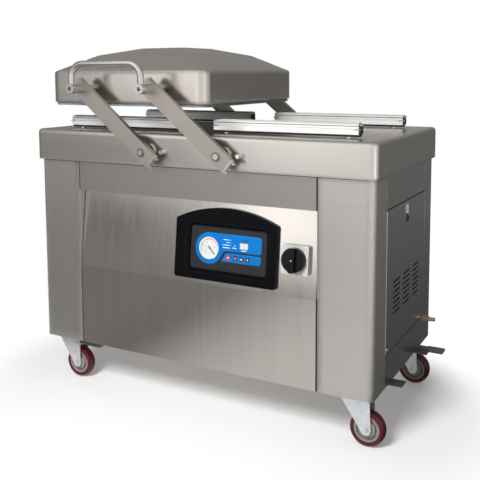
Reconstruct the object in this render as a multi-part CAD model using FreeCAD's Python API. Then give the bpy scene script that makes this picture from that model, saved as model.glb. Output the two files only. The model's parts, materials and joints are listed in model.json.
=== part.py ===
import FreeCAD, Part
import math
import os

V = FreeCAD.Vector

# Clearances
TOUCH = 0.3
RUNNING = 0.06
OPEN_PIVOT = 0.5
PANEL_GAP = 0.9

# Bed table, an upside-down tray
BED_W = 1120.0
BED_D = 600.0
BED_TOP = 817.0
BED_H = 95.0
BED_CORNER = 18.0
BED_EDGE = 11.0
BED_WALL = 3.0
BED_LIP = 8.0

# Cabinet of folded sheet
SHEET = 2.0
CAB_W = 1104.0
CAB_D = 578.0
CAB_BOTTOM = 145.0
CAB_CORNER = 18.0
POST_W = 155.0
POST_SIDE = 102.0
REAR_SIDE = 89.0
FASCIA_H = 91.0
PANEL_RECESS = 27.0
KINK_Z = 392.0
PAN_WALL = 3.0

# Access panel in the right side
ACCESS_BOTTOM = 232.0
ACCESS_TOP = 630.0
ACCESS_PIVOT = 2.0
SLOT_LEN = 70.0
SLOT_H = 5.0
SLOT_PITCH_Z = 14.5
SLOT_PITCH_Y = 97.0
SLOT_ROWS = 7
SLOT_COLUMNS = 3
SLOT_Z = 376.0
SLOT_Y = 9.0
PULL_Z = 582.0
PULL_R = 7.0
LATCH_Z = 612.0
LATCH_W = 10.0
LATCH_H = 27.0
LATCH_T = 3.0
LATCH_PIN_R = 3.0

# Swing arms
ARM_LEN = 285.0
ARM_REST = 39.5
ARM_W = 48.0
ARM_T = 14.0
ARM_SKIN = 4.0
ARM_TOP_END = 24.0
ARM_TAIL = 38.0
ARM_CORNER = 6.0
ARM_GAP = 24.0
ARM_BOSS_R = 20.0
PIVOT_SPACING = 249.0
PIVOT_DROP = 52.0
SHAFT_R = 12.0
BUSH_WALL = 6.0
BUSH_FLANGE_R = 22.0
BUSH_FLANGE_T = 6.0
WASHER_R = 14.0
WASHER_T = 2.5
BOLT_R = 8.0
BOLT_H = 5.5
END_PLATE_T = 6.0
ADJUSTER_R = 5.0
ADJUSTER_LEN = 9.0
STOP_OFFSET = 52.0
STOP_R = 6.5
STOP_LEN = 19.0

# Lid
LID_W = 564.0
LID_D = 580.0
LID_CORNER = 30.0
LID_WALL_H = 94.0
LID_SKIN = 3.0
LID_FLANGE = 22.0
CREASE_INSET = 96.0
CREASE_RISE = 51.0
TOP_INSET = 194.0
TOP_RISE = 73.5
LID_EDGE = 9.0
STUD_ABOVE_RIM = 44.3
STUD_REACH = 34.0
STUD_R = 9.0
STUD_SHOULDER_R = 14.0
STUD_CAP_R = 15.0
STUD_CAP_T = 8.0
GASKET_INSET = 6.0
GASKET_W = 14.0
GASKET_H = 9.0
PAD_W = 24.0
PAD_H = 14.0
PAD_ABOVE_RIM = 42.7
HOLDER_T = 8.0

# Handle
HANDLE_R = 8.0
HANDLE_RISE = 76.0
HANDLE_BEND = 42.0
HANDLE_SPACER = 24.0
HANDLE_BOSS_LEN = 23.0
HANDLE_BOSS_R = 15.0
SOCKET_R = 4.5
SOCKET_DEPTH = 6.0

# Seal bars and their posts
BAR_START = 46.0
BAR_LEN = 436.0
BAR_Y = 202.0
BAR_W = 32.0
BAR_BOTTOM = 9.0
BAR_H = 29.0
BAR_GROOVE = 4.0
BAR_GROOVE_DEPTH = 3.0
STRIP_W = 12.0
STRIP_H = 3.0
END_PIN_R = 3.5
END_PIN_LEN = 7.0
POST_INSET = 32.0
POST_R = 8.0
GUIDE_R = 5.0
GUIDE_H = 16.0
GUIDE_SPARE = 2.0
PORT_R = 30.0
PORT_H = 5.0
PORT_HOLE_R = 4.0
PORT_HOLE_RING = 19.0
PORT_HOLES = 8

# Controls, on the part of the front panel that leans back, measured from a zero line left of its right edge
CONTROLS_IN = 397.0
BEZEL_LEFT = -45.0
BEZEL_RIGHT = 280.0
BEZEL_LOW = 13.0
BEZEL_SHOULDER = 183.0
BEZEL_APEX = 221.0
BEZEL_PROUD = 10.0
BEZEL_CORNER = 8.0
WINDOW_LEFT = -2.0
WINDOW_RIGHT = 244.0
WINDOW_LOW = 41.0
WINDOW_HIGH = 166.0
WINDOW_CORNER = 10.0
WINDOW_FLARE = 9.0
TRAY_DEPTH = 10.0
TRAY_WALL = 3.0
PLATE_T = 4.0
GAUGE_X = 59.0
GAUGE_U = 102.6
GAUGE_R = 31.4
GAUGE_WALL = 2.0
GAUGE_DEPTH = 38.0
GAUGE_CUP = 5.0
NEEDLE_LEN = 25.0
NEEDLE_TAIL = 7.0
NEEDLE_W = 2.4
NEEDLE_T = 0.8
NEEDLE_HUB_R = 3.2
NEEDLE_PIN_R = 1.5
NEEDLE_REST = -45.0
KEY_SIZE = 12.0
KEY_T = 4.0
KEY_PROUD = 1.8
KEY_U = 82.0
KEY_STOP_X = 123.0
KEY_FIRST_X = 146.0
KEY_PITCH = 19.0
SWITCH_X = 335.0
SWITCH_U = 102.6
SWITCH_SIZE = 78.0
SWITCH_T = 14.0
SWITCH_CORNER = 6.0
KNOB_R = 33.0
KNOB_T = 15.0
GRIP_W = 16.0
GRIP_H = 11.0
KNOB_PIN_R = 4.0
KNOB_PIN_LEN = 10.0

# Casters
CASTER_X = 491.0
CASTER_Y = 228.0
PLATE_W = 90.0
PLATE_D = 80.0
PLATE_THICK = 4.0
WHEEL_R = 49.0
WHEEL_W = 30.0
HUB_R = 37.0
HUB_STEP_R = 22.0
HUB_GAP = 0.02
TYRE_EDGE = 6.0
TRAIL = 30.0
LEG_T = 3.0
LEG_GAP = 3.0
CROWN_R = 28.0
CROWN_H = 11.0
CROWN_PLATE = 4.0
CROWN_BACK = 44.0
CROWN_FRONT = 40.0
KING_R = 6.0
KING_HEAD_R = 10.0
KING_HEAD_H = 3.0
AXLE_R = 5.0
AXLE_HEAD_R = 8.0
AXLE_HEAD_H = 5.0
AXLE_EYE_R = 14.0
PEDAL_X = 30.0
PEDAL_DROP = 13.0
PEDAL_REACH = 92.0
PEDAL_W = 40.0
PEDAL_NECK_W = 28.0
PEDAL_NECK_LEN = 42.0
PEDAL_T = 6.0
PEDAL_PIN_R = 3.0

# Tie-down brackets and gas inlet
BRACKET_Y = 130.0
BRACKET_W = 40.0
BRACKET_REACH = 36.0
BRACKET_INNER = 32.0
BRACKET_T = 4.0
BRACKET_HOLE_R = 5.5
BRACKET_HOLE_OUT = 18.0
INLET_Y = 232.0
INLET_Z = 213.0
INLET_HEX_R = 11.0
INLET_HEX_LEN = 10.0
INLET_R = 6.0
INLET_LEN = 20.0

# Inside the cabinet
PUMP_X = 170.0
PUMP_L = 300.0
PUMP_W = 200.0
PUMP_H = 210.0
MOTOR_R = 80.0
MOTOR_L = 220.0
COIL_X = -390.0
COIL_SIZE = 130.0

# Places worked out from the sizes above
BED_UNDER = BED_TOP - BED_H
FRONT = -CAB_D / 2
SIDE = CAB_W / 2
POST_EDGE = SIDE - POST_W
PILLAR_Y = FRONT + POST_SIDE
REAR_Y = CAB_D / 2 - REAR_SIDE
FASCIA_Z = BED_UNDER - FASCIA_H
SLOPE = math.degrees(math.atan2(PANEL_RECESS, FASCIA_Z - KINK_Z))
PIVOT_Z = BED_TOP - PIVOT_DROP
PIVOT_X = PIVOT_SPACING / 2
ARM_IN = max(BED_D / 2 + ARM_GAP, LID_D / 2 + STUD_REACH)
ARM_OUT = ARM_IN + ARM_T
LID_X = -ARM_LEN * math.cos(math.radians(ARM_REST))
STUD_Z = PIVOT_Z + ARM_LEN * math.sin(math.radians(ARM_REST))
RIM_Z = STUD_Z - STUD_ABOVE_RIM
BAR_Z = BED_TOP + BAR_BOTTOM
BAR_X = BAR_START + BAR_LEN / 2
PLATE_FRONT = -TRAY_DEPTH + PLATE_T
PLATE_UNDER = CAB_BOTTOM - PLATE_THICK
CROWN_LOW = PLATE_UNDER - TOUCH - CROWN_H
LEG_IN = WHEEL_W / 2 + LEG_GAP


def box(x0, x1, y0, y1, z0, z1):
    return Part.makeBox(x1 - x0, y1 - y0, z1 - z0, V(x0, y0, z0))


def rod_y(x, z, r, y0, y1):
    return Part.makeCylinder(r, y1 - y0, V(x, y0, z), V(0, 1, 0))


def rod_z(x, y, r, z0, z1):
    return Part.makeCylinder(r, z1 - z0, V(x, y, z0), V(0, 0, 1))


def rod_x(y, z, r, x0, x1):
    return Part.makeCylinder(r, x1 - x0, V(x0, y, z), V(1, 0, 0))


def hexagon(r, height):
    corners = [V(r * math.cos(math.radians(a)), r * math.sin(math.radians(a)), 0) for a in range(0, 360, 60)]
    return Part.Face(Part.makePolygon(corners + corners[:1])).extrude(V(0, 0, height))


def rounded_rect(x0, x1, y0, y1, r, z):
    k = r * (1 - math.sqrt(0.5))
    low_right = Part.Arc(V(x1 - r, y0, z), V(x1 - k, y0 + k, z), V(x1, y0 + r, z))
    top_right = Part.Arc(V(x1, y1 - r, z), V(x1 - k, y1 - k, z), V(x1 - r, y1, z))
    top_left = Part.Arc(V(x0 + r, y1, z), V(x0 + k, y1 - k, z), V(x0, y1 - r, z))
    low_left = Part.Arc(V(x0, y0 + r, z), V(x0 + k, y0 + k, z), V(x0 + r, y0, z))
    curves = [
        Part.LineSegment(V(x0 + r, y0, z), V(x1 - r, y0, z)),
        low_right,
        Part.LineSegment(V(x1, y0 + r, z), V(x1, y1 - r, z)),
        top_right,
        Part.LineSegment(V(x1 - r, y1, z), V(x0 + r, y1, z)),
        top_left,
        Part.LineSegment(V(x0, y1 - r, z), V(x0, y0 + r, z)),
        low_left,
    ]
    return Part.Wire([curve.toShape() for curve in curves])


def slab(x0, x1, y0, y1, r, z0, z1):
    return Part.Face(rounded_rect(x0, x1, y0, y1, r, z0)).extrude(V(0, 0, z1 - z0))


def edges_at(shape, z):
    return [e for e in shape.Edges if all(abs(v.Z - z) < 1e-4 for v in e.Vertexes)]


def upright_edges(shape):
    found = []
    for e in shape.Edges:
        ends = [v.Point for v in e.Vertexes]
        if len(ends) == 2 and math.hypot(ends[0].x - ends[1].x, ends[0].y - ends[1].y) < 1e-6:
            found.append(e)
    return found


def flip_x(shape):
    return shape.mirror(V(0, 0, 0), V(1, 0, 0))


def flip_y(shape):
    return shape.mirror(V(0, 0, 0), V(0, 1, 0))


def moved(shape, x, y, z):
    copy = shape.copy()
    copy.translate(V(x, y, z))
    return copy


def group(shapes):
    return Part.makeCompound(shapes)


def on_panel(shape):
    """Stand a flat shape (x, height above the kink, outwards) on the leaning part of the front panel."""
    copy = shape.copy()
    copy.rotate(V(0, 0, 0), V(1, 0, 0), 90)
    copy.translate(V(POST_EDGE - CONTROLS_IN, FRONT, KINK_Z))
    copy.rotate(V(0, FRONT, KINK_Z), V(1, 0, 0), -SLOPE)
    return copy


# Bed table with its shaft bushes, stop bolts, bar posts and suction ports
def bed_table():
    half_w = BED_W / 2
    half_d = BED_D / 2
    outer = slab(-half_w, half_w, -half_d, half_d, BED_CORNER, BED_UNDER, BED_TOP)
    outer = outer.makeFillet(BED_EDGE, edges_at(outer, BED_TOP))
    in_w = half_w - BED_WALL
    in_d = half_d - BED_WALL
    inner = slab(-in_w, in_w, -in_d, in_d, BED_CORNER - BED_WALL, BED_UNDER + BED_WALL, BED_TOP - BED_WALL)
    inner = inner.makeFillet(BED_EDGE - BED_WALL, edges_at(inner, BED_TOP - BED_WALL))
    mouth_w = SIDE - SHEET - BED_LIP
    mouth_d = -FRONT - SHEET - BED_LIP
    mouth = slab(-mouth_w, mouth_w, -mouth_d, mouth_d, BED_CORNER / 2, BED_UNDER, BED_UNDER + BED_WALL)
    tray = outer.cut(inner).cut(mouth)
    for side in (-1, 1):
        tray = tray.cut(rod_y(side * PIVOT_X, PIVOT_Z, SHAFT_R + BUSH_WALL, -BED_D, BED_D))
    return tray


def shaft_bush(x):
    face = -BED_D / 2
    sleeve = rod_y(x, PIVOT_Z, SHAFT_R + BUSH_WALL, face, face + 2 * BED_WALL)
    flange = rod_y(x, PIVOT_Z, BUSH_FLANGE_R, face - BUSH_FLANGE_T, face)
    bore = rod_y(x, PIVOT_Z, SHAFT_R + RUNNING, face - BUSH_FLANGE_T, face + 2 * BED_WALL)
    return sleeve.fuse(flange).cut(bore)


def shaft_bushes():
    front = [shaft_bush(-PIVOT_X), shaft_bush(PIVOT_X)]
    return group(front + [flip_y(bush) for bush in front])


def stop_bolts():
    bolts = []
    for side in (-1, 1):
        x = side * PIVOT_X + STOP_OFFSET
        bolts.append(rod_y(x, PIVOT_Z, STOP_R, -BED_D / 2 - STOP_LEN, -BED_D / 2))
    return group(bolts)


def bar_post(x, y):
    shoulder = rod_z(x, y, POST_R, BED_TOP, BAR_Z - TOUCH)
    guide = rod_z(x, y, GUIDE_R, BED_TOP, BAR_Z + GUIDE_H)
    return shoulder.fuse(guide)


def post_places():
    reach = BAR_LEN / 2 - POST_INSET
    return [(sx * BAR_X + end * reach, sy * BAR_Y) for sx in (-1, 1) for sy in (-1, 1) for end in (-1, 1)]


def suction_port(x):
    disc = rod_z(x, 0, PORT_R, BED_TOP, BED_TOP + PORT_H)
    for i in range(PORT_HOLES):
        turn = 2 * math.pi * i / PORT_HOLES
        hole_x = x + PORT_HOLE_RING * math.cos(turn)
        disc = disc.cut(rod_z(hole_x, PORT_HOLE_RING * math.sin(turn), PORT_HOLE_R, BED_TOP, BED_TOP + PORT_H))
    return disc


# Cabinet panels, all cut from one folded ring of sheet
def cabinet_ring():
    back = -FRONT
    outer = slab(-SIDE, SIDE, FRONT, back, CAB_CORNER, CAB_BOTTOM, BED_UNDER)
    inner_w = SIDE - SHEET
    inner_d = back - SHEET
    inner = slab(-inner_w, inner_w, -inner_d, inner_d, CAB_CORNER - SHEET, CAB_BOTTOM, BED_UNDER)
    return outer.cut(inner)


def front_left_post(ring):
    corner = ring.common(box(-SIDE, -POST_EDGE, FRONT, PILLAR_Y, CAB_BOTTOM, BED_UNDER))
    cheek_y = FRONT + PANEL_RECESS + SHEET
    cheek = box(-POST_EDGE - SHEET, -POST_EDGE, FRONT, cheek_y, CAB_BOTTOM + PAN_WALL, BED_UNDER)
    return corner.fuse(cheek).removeSplitter()


def front_fascia():
    edge = POST_EDGE - TOUCH
    face = box(-edge, edge, FRONT, FRONT + SHEET, FASCIA_Z, BED_UNDER)
    lip = box(-edge, edge, FRONT, FRONT + PANEL_RECESS + SHEET, FASCIA_Z, FASCIA_Z + SHEET)
    return face.fuse(lip).removeSplitter()


def front_panel():
    edge = POST_EDGE - TOUCH
    top = FASCIA_Z
    profile = [
        V(-edge, FRONT, CAB_BOTTOM),
        V(-edge, FRONT, KINK_Z),
        V(-edge, FRONT + PANEL_RECESS, top),
        V(-edge, FRONT + PANEL_RECESS + SHEET, top),
        V(-edge, FRONT + SHEET, KINK_Z),
        V(-edge, FRONT + SHEET, CAB_BOTTOM),
    ]
    sheet = Part.Face(Part.makePolygon(profile + profile[:1])).extrude(V(2 * edge, 0, 0))
    grow = TRAY_WALL + TOUCH
    window = slab(WINDOW_LEFT - grow, WINDOW_RIGHT + grow, WINDOW_LOW - grow, WINDOW_HIGH + grow,
                  WINDOW_CORNER + grow, -2 * SHEET - TRAY_DEPTH, SHEET)
    return sheet.cut(on_panel(window))


def right_side_strip(ring, z0, z1):
    return ring.common(box(SIDE - SHEET, SIDE, PILLAR_Y, REAR_Y, z0, z1))


def left_side_panel(ring):
    return ring.common(box(-SIDE, -SIDE + SHEET, PILLAR_Y, REAR_Y, CAB_BOTTOM, BED_UNDER))


def rear_panel(ring):
    return ring.common(box(-SIDE, SIDE, REAR_Y, -FRONT, CAB_BOTTOM, BED_UNDER))


def base_pan():
    half_w = SIDE - SHEET - TOUCH
    half_d = -FRONT - SHEET - TOUCH
    return slab(-half_w, half_w, -half_d, half_d, CAB_CORNER - SHEET, CAB_BOTTOM, CAB_BOTTOM + PAN_WALL)


def access_panel():
    low = ACCESS_BOTTOM + PANEL_GAP
    high = ACCESS_TOP - PANEL_GAP
    plate = box(SIDE - SHEET, SIDE, PILLAR_Y + PANEL_GAP, REAR_Y - PANEL_GAP, low, high)
    for column in range(SLOT_COLUMNS):
        y = SLOT_Y + (column - (SLOT_COLUMNS - 1) / 2) * SLOT_PITCH_Y
        for row in range(SLOT_ROWS):
            z = SLOT_Z + (row - (SLOT_ROWS - 1) / 2) * SLOT_PITCH_Z
            plate = plate.cut(vent_slot(y, z))
    plate = plate.cut(rod_x(SLOT_Y, PULL_Z, PULL_R, SIDE - SHEET, SIDE))
    return plate.cut(rod_x(SLOT_Y, LATCH_Z, LATCH_PIN_R + RUNNING, SIDE - SHEET, SIDE))


def vent_slot(y, z):
    half = SLOT_LEN / 2 - SLOT_H / 2
    middle = box(SIDE - SHEET, SIDE, y - half, y + half, z - SLOT_H / 2, z + SLOT_H / 2)
    ends = [rod_x(y + side * half, z, SLOT_H / 2, SIDE - SHEET, SIDE) for side in (-1, 1)]
    return middle.fuse(ends)


def panel_latch():
    face = SIDE + TOUCH
    low = LATCH_Z - LATCH_H + LATCH_W / 2
    bar = box(face, face + LATCH_T, SLOT_Y - LATCH_W / 2, SLOT_Y + LATCH_W / 2, low, LATCH_Z)
    eye = rod_x(SLOT_Y, LATCH_Z, LATCH_W / 2, face, face + LATCH_T)
    pin = rod_x(SLOT_Y, LATCH_Z, LATCH_PIN_R, SIDE - SHEET, face + LATCH_T)
    return bar.fuse([eye, pin]).removeSplitter()


def tie_down_bracket(side_x, side_y):
    outer = SIDE + BRACKET_REACH
    y = side_y * BRACKET_Y
    z0 = CAB_BOTTOM - BRACKET_T
    plate = box(SIDE - BRACKET_INNER, outer, y - BRACKET_W / 2, y + BRACKET_W / 2, z0, CAB_BOTTOM)
    plate = plate.cut(rod_z(SIDE + BRACKET_HOLE_OUT, y, BRACKET_HOLE_R, z0, CAB_BOTTOM))
    return plate if side_x > 0 else flip_x(plate)


def gas_inlet_fitting():
    nut = hexagon(INLET_HEX_R, INLET_HEX_LEN)
    nut.rotate(V(0, 0, 0), V(0, 1, 0), 90)
    nut.translate(V(SIDE, INLET_Y, INLET_Z))
    spigot = rod_x(INLET_Y, INLET_Z, INLET_R, SIDE, SIDE + INLET_HEX_LEN + INLET_LEN)
    return nut.fuse(spigot)


# Controls
def control_bezel():
    middle = (BEZEL_LEFT + BEZEL_RIGHT) / 2
    arch = Part.Arc(V(BEZEL_RIGHT, BEZEL_SHOULDER, 0), V(middle, BEZEL_APEX, 0), V(BEZEL_LEFT, BEZEL_SHOULDER, 0))
    outline = Part.Wire([
        Part.LineSegment(V(BEZEL_LEFT, BEZEL_LOW, 0), V(BEZEL_RIGHT, BEZEL_LOW, 0)).toShape(),
        Part.LineSegment(V(BEZEL_RIGHT, BEZEL_LOW, 0), V(BEZEL_RIGHT, BEZEL_SHOULDER, 0)).toShape(),
        arch.toShape(),
        Part.LineSegment(V(BEZEL_LEFT, BEZEL_SHOULDER, 0), V(BEZEL_LEFT, BEZEL_LOW, 0)).toShape(),
    ])
    frame = Part.Face(outline).extrude(V(0, 0, BEZEL_PROUD))
    frame = frame.makeFillet(BEZEL_CORNER, upright_edges(frame))
    rim = slab(WINDOW_LEFT - TRAY_WALL, WINDOW_RIGHT + TRAY_WALL, WINDOW_LOW - TRAY_WALL,
               WINDOW_HIGH + TRAY_WALL, WINDOW_CORNER + TRAY_WALL, -TRAY_DEPTH, 0)
    flare = Part.makeLoft([
        rounded_rect(WINDOW_LEFT, WINDOW_RIGHT, WINDOW_LOW, WINDOW_HIGH, WINDOW_CORNER, 0),
        rounded_rect(WINDOW_LEFT - WINDOW_FLARE, WINDOW_RIGHT + WINDOW_FLARE, WINDOW_LOW - WINDOW_FLARE,
                     WINDOW_HIGH + WINDOW_FLARE, WINDOW_CORNER + WINDOW_FLARE, BEZEL_PROUD),
    ], True, True)
    well = slab(WINDOW_LEFT, WINDOW_RIGHT, WINDOW_LOW, WINDOW_HIGH, WINDOW_CORNER, -TRAY_DEPTH, 0)
    return on_panel(frame.fuse(rim).cut(flare).cut(well).removeSplitter())


def key_places():
    return [KEY_STOP_X] + [KEY_FIRST_X + i * KEY_PITCH for i in range(3)]


def control_plate():
    plate = slab(WINDOW_LEFT + TOUCH, WINDOW_RIGHT - TOUCH, WINDOW_LOW + TOUCH, WINDOW_HIGH - TOUCH,
                 WINDOW_CORNER - TOUCH, -TRAY_DEPTH, PLATE_FRONT)
    plate = plate.cut(rod_z(GAUGE_X, GAUGE_U, GAUGE_R + TOUCH, -TRAY_DEPTH, PLATE_FRONT))
    reach = KEY_SIZE / 2 + TOUCH
    for x in key_places():
        plate = plate.cut(box(x - reach, x + reach, KEY_U - reach, KEY_U + reach, -TRAY_DEPTH, PLATE_FRONT))
    return on_panel(plate)


def key(x):
    half = KEY_SIZE / 2
    front = PLATE_FRONT + KEY_PROUD
    return on_panel(box(x - half, x + half, KEY_U - half, KEY_U + half, front - KEY_T, front))


def gauge_body():
    front = PLATE_FRONT + GAUGE_WALL
    dial = front - GAUGE_CUP
    can = rod_z(GAUGE_X, GAUGE_U, GAUGE_R, front - GAUGE_DEPTH, front)
    can = can.cut(rod_z(GAUGE_X, GAUGE_U, GAUGE_R - GAUGE_WALL, dial, front))
    return on_panel(can.fuse(rod_z(GAUGE_X, GAUGE_U, NEEDLE_PIN_R, dial, front - GAUGE_WALL)))


def gauge_needle():
    low = PLATE_FRONT + GAUGE_WALL - GAUGE_CUP + TOUCH
    half = NEEDLE_W / 2
    blade = box(-NEEDLE_TAIL, NEEDLE_LEN, -half, half, low, low + NEEDLE_T)
    hub = rod_z(0, 0, NEEDLE_HUB_R, low, low + 2 * NEEDLE_T)
    needle = blade.fuse(hub).cut(rod_z(0, 0, NEEDLE_PIN_R + RUNNING, low, low + 2 * NEEDLE_T))
    needle.rotate(V(0, 0, 0), V(0, 0, 1), NEEDLE_REST)
    needle.translate(V(GAUGE_X, GAUGE_U, 0))
    return on_panel(needle)


def switch_base():
    half = SWITCH_SIZE / 2
    block = slab(SWITCH_X - half, SWITCH_X + half, SWITCH_U - half, SWITCH_U + half, SWITCH_CORNER, 0, SWITCH_T)
    pocket = rod_z(SWITCH_X, SWITCH_U, KNOB_PIN_R + RUNNING, SWITCH_T - KNOB_PIN_LEN - TOUCH, SWITCH_T)
    return on_panel(block.cut(pocket))


def switch_knob():
    low = SWITCH_T + TOUCH
    disc = rod_z(SWITCH_X, SWITCH_U, KNOB_R, low, low + KNOB_T)
    pin = rod_z(SWITCH_X, SWITCH_U, KNOB_PIN_R, SWITCH_T - KNOB_PIN_LEN, low)
    half = GRIP_W / 2
    grip = slab(SWITCH_X - half, SWITCH_X + half, SWITCH_U - KNOB_R, SWITCH_U + KNOB_R, half / 2,
                low + KNOB_T, low + KNOB_T + GRIP_H)
    return on_panel(disc.fuse([pin, grip]))


# Swing lid
def lid_form(skin, base):
    wall = RIM_Z + LID_WALL_H
    levels = [(0, base), (0, wall), (CREASE_INSET, wall + CREASE_RISE), (TOP_INSET, wall + TOP_RISE)]
    wires = []
    for inset, z in levels:
        half_w = LID_W / 2 - inset - skin
        half_d = LID_D / 2 - inset - skin
        height = z if z == base else z - skin
        wires.append(rounded_rect(LID_X - half_w, LID_X + half_w, -half_d, half_d, LID_CORNER - skin, height))
    return Part.makeLoft(wires, True, True)


def lid_shell():
    outer = lid_form(0, RIM_Z)
    for height in (LID_WALL_H + TOP_RISE, LID_WALL_H + CREASE_RISE, LID_WALL_H):
        outer = outer.makeFillet(LID_EDGE, edges_at(outer, RIM_Z + height))
    inner = lid_form(LID_SKIN, RIM_Z + LID_SKIN)
    half_w = LID_W / 2 - LID_FLANGE
    half_d = LID_D / 2 - LID_FLANGE
    mouth = slab(LID_X - half_w, LID_X + half_w, -half_d, half_d, LID_CORNER / 2, RIM_Z, RIM_Z + LID_SKIN)
    return outer.cut(inner).cut(mouth)


def lid_gasket():
    half_w = LID_W / 2 - GASKET_INSET
    half_d = LID_D / 2 - GASKET_INSET
    corner = LID_CORNER - GASKET_INSET
    low = RIM_Z - GASKET_H
    outer = slab(LID_X - half_w, LID_X + half_w, -half_d, half_d, corner, low, RIM_Z)
    half_w -= GASKET_W
    half_d -= GASKET_W
    inner = slab(LID_X - half_w, LID_X + half_w, -half_d, half_d, corner - GASKET_W / 2, low, RIM_Z)
    return outer.cut(inner)


def seal_pad(side):
    z0 = RIM_Z + PAD_ABOVE_RIM
    y = side * BAR_Y
    half = BAR_LEN / 2
    return box(LID_X - half, LID_X + half, y - PAD_W / 2, y + PAD_W / 2, z0, z0 + PAD_H)


def pad_holder(side):
    z0 = RIM_Z + PAD_ABOVE_RIM + PAD_H
    y = side * BAR_Y
    half = BAR_LEN / 2
    roof = RIM_Z + LID_WALL_H + TOP_RISE
    web = box(LID_X - half, LID_X + half, y - HOLDER_T / 2, y + HOLDER_T / 2, z0, roof)
    return web.common(lid_form(LID_SKIN, RIM_Z + LID_SKIN))


def pivot_stud(x, rear):
    wall = LID_D / 2
    shoulder = rod_y(x, STUD_Z, STUD_SHOULDER_R, -ARM_IN + TOUCH, -wall)
    grip = STUD_CAP_T if rear else HANDLE_SPACER
    shank = rod_y(x, STUD_Z, STUD_R, -ARM_OUT - grip, -wall)
    stud = shoulder.fuse(shank)
    if rear:
        cap = rod_y(x, STUD_Z, STUD_CAP_R, -ARM_OUT - TOUCH - STUD_CAP_T, -ARM_OUT - TOUCH)
        stud = flip_y(stud.fuse(cap))
    return stud


def handle():
    end = -ARM_OUT - TOUCH
    middle_y = end - HANDLE_SPACER - HANDLE_BOSS_LEN / 2
    left = LID_X - PIVOT_X
    right = LID_X + PIVOT_X
    top = STUD_Z + HANDLE_RISE
    k = HANDLE_BEND * (1 - math.sqrt(0.5))
    points_left = [V(left, middle_y, top - HANDLE_BEND), V(left + k, middle_y, top - k), V(left + HANDLE_BEND, middle_y, top)]
    points_right = [V(right - HANDLE_BEND, middle_y, top), V(right - k, middle_y, top - k), V(right, middle_y, top - HANDLE_BEND)]
    path = Part.Wire([
        Part.LineSegment(V(left, middle_y, STUD_Z), points_left[0]).toShape(),
        Part.Arc(*points_left).toShape(),
        Part.LineSegment(points_left[2], points_right[0]).toShape(),
        Part.Arc(*points_right).toShape(),
        Part.LineSegment(points_right[2], V(right, middle_y, STUD_Z)).toShape(),
    ])
    section = Part.Wire([Part.makeCircle(HANDLE_R, V(left, middle_y, STUD_Z), V(0, 0, 1))])
    grip = path.makePipeShell([section], True, False)
    for x in (left, right):
        spacer = rod_y(x, STUD_Z, STUD_SHOULDER_R, end - HANDLE_SPACER, end)
        boss = rod_y(x, STUD_Z, HANDLE_BOSS_R, end - HANDLE_SPACER - HANDLE_BOSS_LEN, end - HANDLE_SPACER)
        bore = rod_y(x, STUD_Z, STUD_R + RUNNING, end - HANDLE_SPACER, end)
        face = end - HANDLE_SPACER - HANDLE_BOSS_LEN
        socket = rod_y(x, STUD_Z, SOCKET_R, face, face + SOCKET_DEPTH)
        grip = grip.fuse([spacer, boss]).cut(bore).cut(socket)
    return grip


# Swing arms, drawn lying along -X from the lower pivot and then raised to the rest angle
def raised(shape, x):
    copy = shape.copy()
    copy.rotate(V(0, 0, 0), V(0, 1, 0), ARM_REST)
    copy.translate(V(x, 0, PIVOT_Z))
    return copy


def lying_slab(x0, x1, half, corner, y0, y1):
    plate = slab(x0, x1, -half, half, corner, 0, y1 - y0)
    plate.rotate(V(0, 0, 0), V(1, 0, 0), -90)
    plate.translate(V(0, y0, 0))
    return plate


def swing_arm(x, stud_clearance):
    start = -ARM_LEN - ARM_TOP_END
    bar = lying_slab(start, ARM_TAIL, ARM_W / 2, ARM_CORNER, -ARM_OUT, -ARM_IN)
    pocket = lying_slab(start + ARM_SKIN, ARM_TAIL - ARM_SKIN, ARM_W / 2 - ARM_SKIN, ARM_CORNER,
                        -ARM_OUT + ARM_SKIN, -ARM_IN)
    for boss_x in (-ARM_LEN, 0):
        pocket = pocket.cut(rod_y(boss_x, 0, ARM_BOSS_R - ARM_SKIN, -ARM_OUT, -ARM_IN))
    bar = bar.cut(pocket)
    bar = bar.cut(rod_y(-ARM_LEN, 0, STUD_R + stud_clearance, -ARM_OUT, -ARM_IN))
    bar = bar.cut(rod_y(0, 0, SHAFT_R + RUNNING, -ARM_OUT, -ARM_IN))
    return raised(bar, x)


def arm_fixings(x):
    washer = rod_y(0, 0, WASHER_R, -ARM_OUT - WASHER_T, -ARM_OUT)
    head = rod_y(0, 0, BOLT_R, -ARM_OUT - WASHER_T - BOLT_H, -ARM_OUT - WASHER_T)
    half = ARM_W / 2 - ARM_SKIN / 2
    plate = box(ARM_TAIL, ARM_TAIL + END_PLATE_T, -ARM_OUT, -ARM_IN, -half, half)
    middle_y = -(ARM_OUT + ARM_IN) / 2
    pieces = [washer.fuse(head), plate]
    for side in (-1, 1):
        z = side * (half - ADJUSTER_R)
        screw = hexagon(ADJUSTER_R, ADJUSTER_LEN)
        screw.rotate(V(0, 0, 0), V(0, 1, 0), 90)
        screw.translate(V(ARM_TAIL + END_PLATE_T, middle_y, z))
        pieces.append(screw)
    front = [raised(piece, x) for piece in pieces]
    return group(front + [flip_y(piece) for piece in front])


def cross_shaft(x):
    return rod_y(x, PIVOT_Z, SHAFT_R, -ARM_OUT, ARM_OUT)


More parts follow.
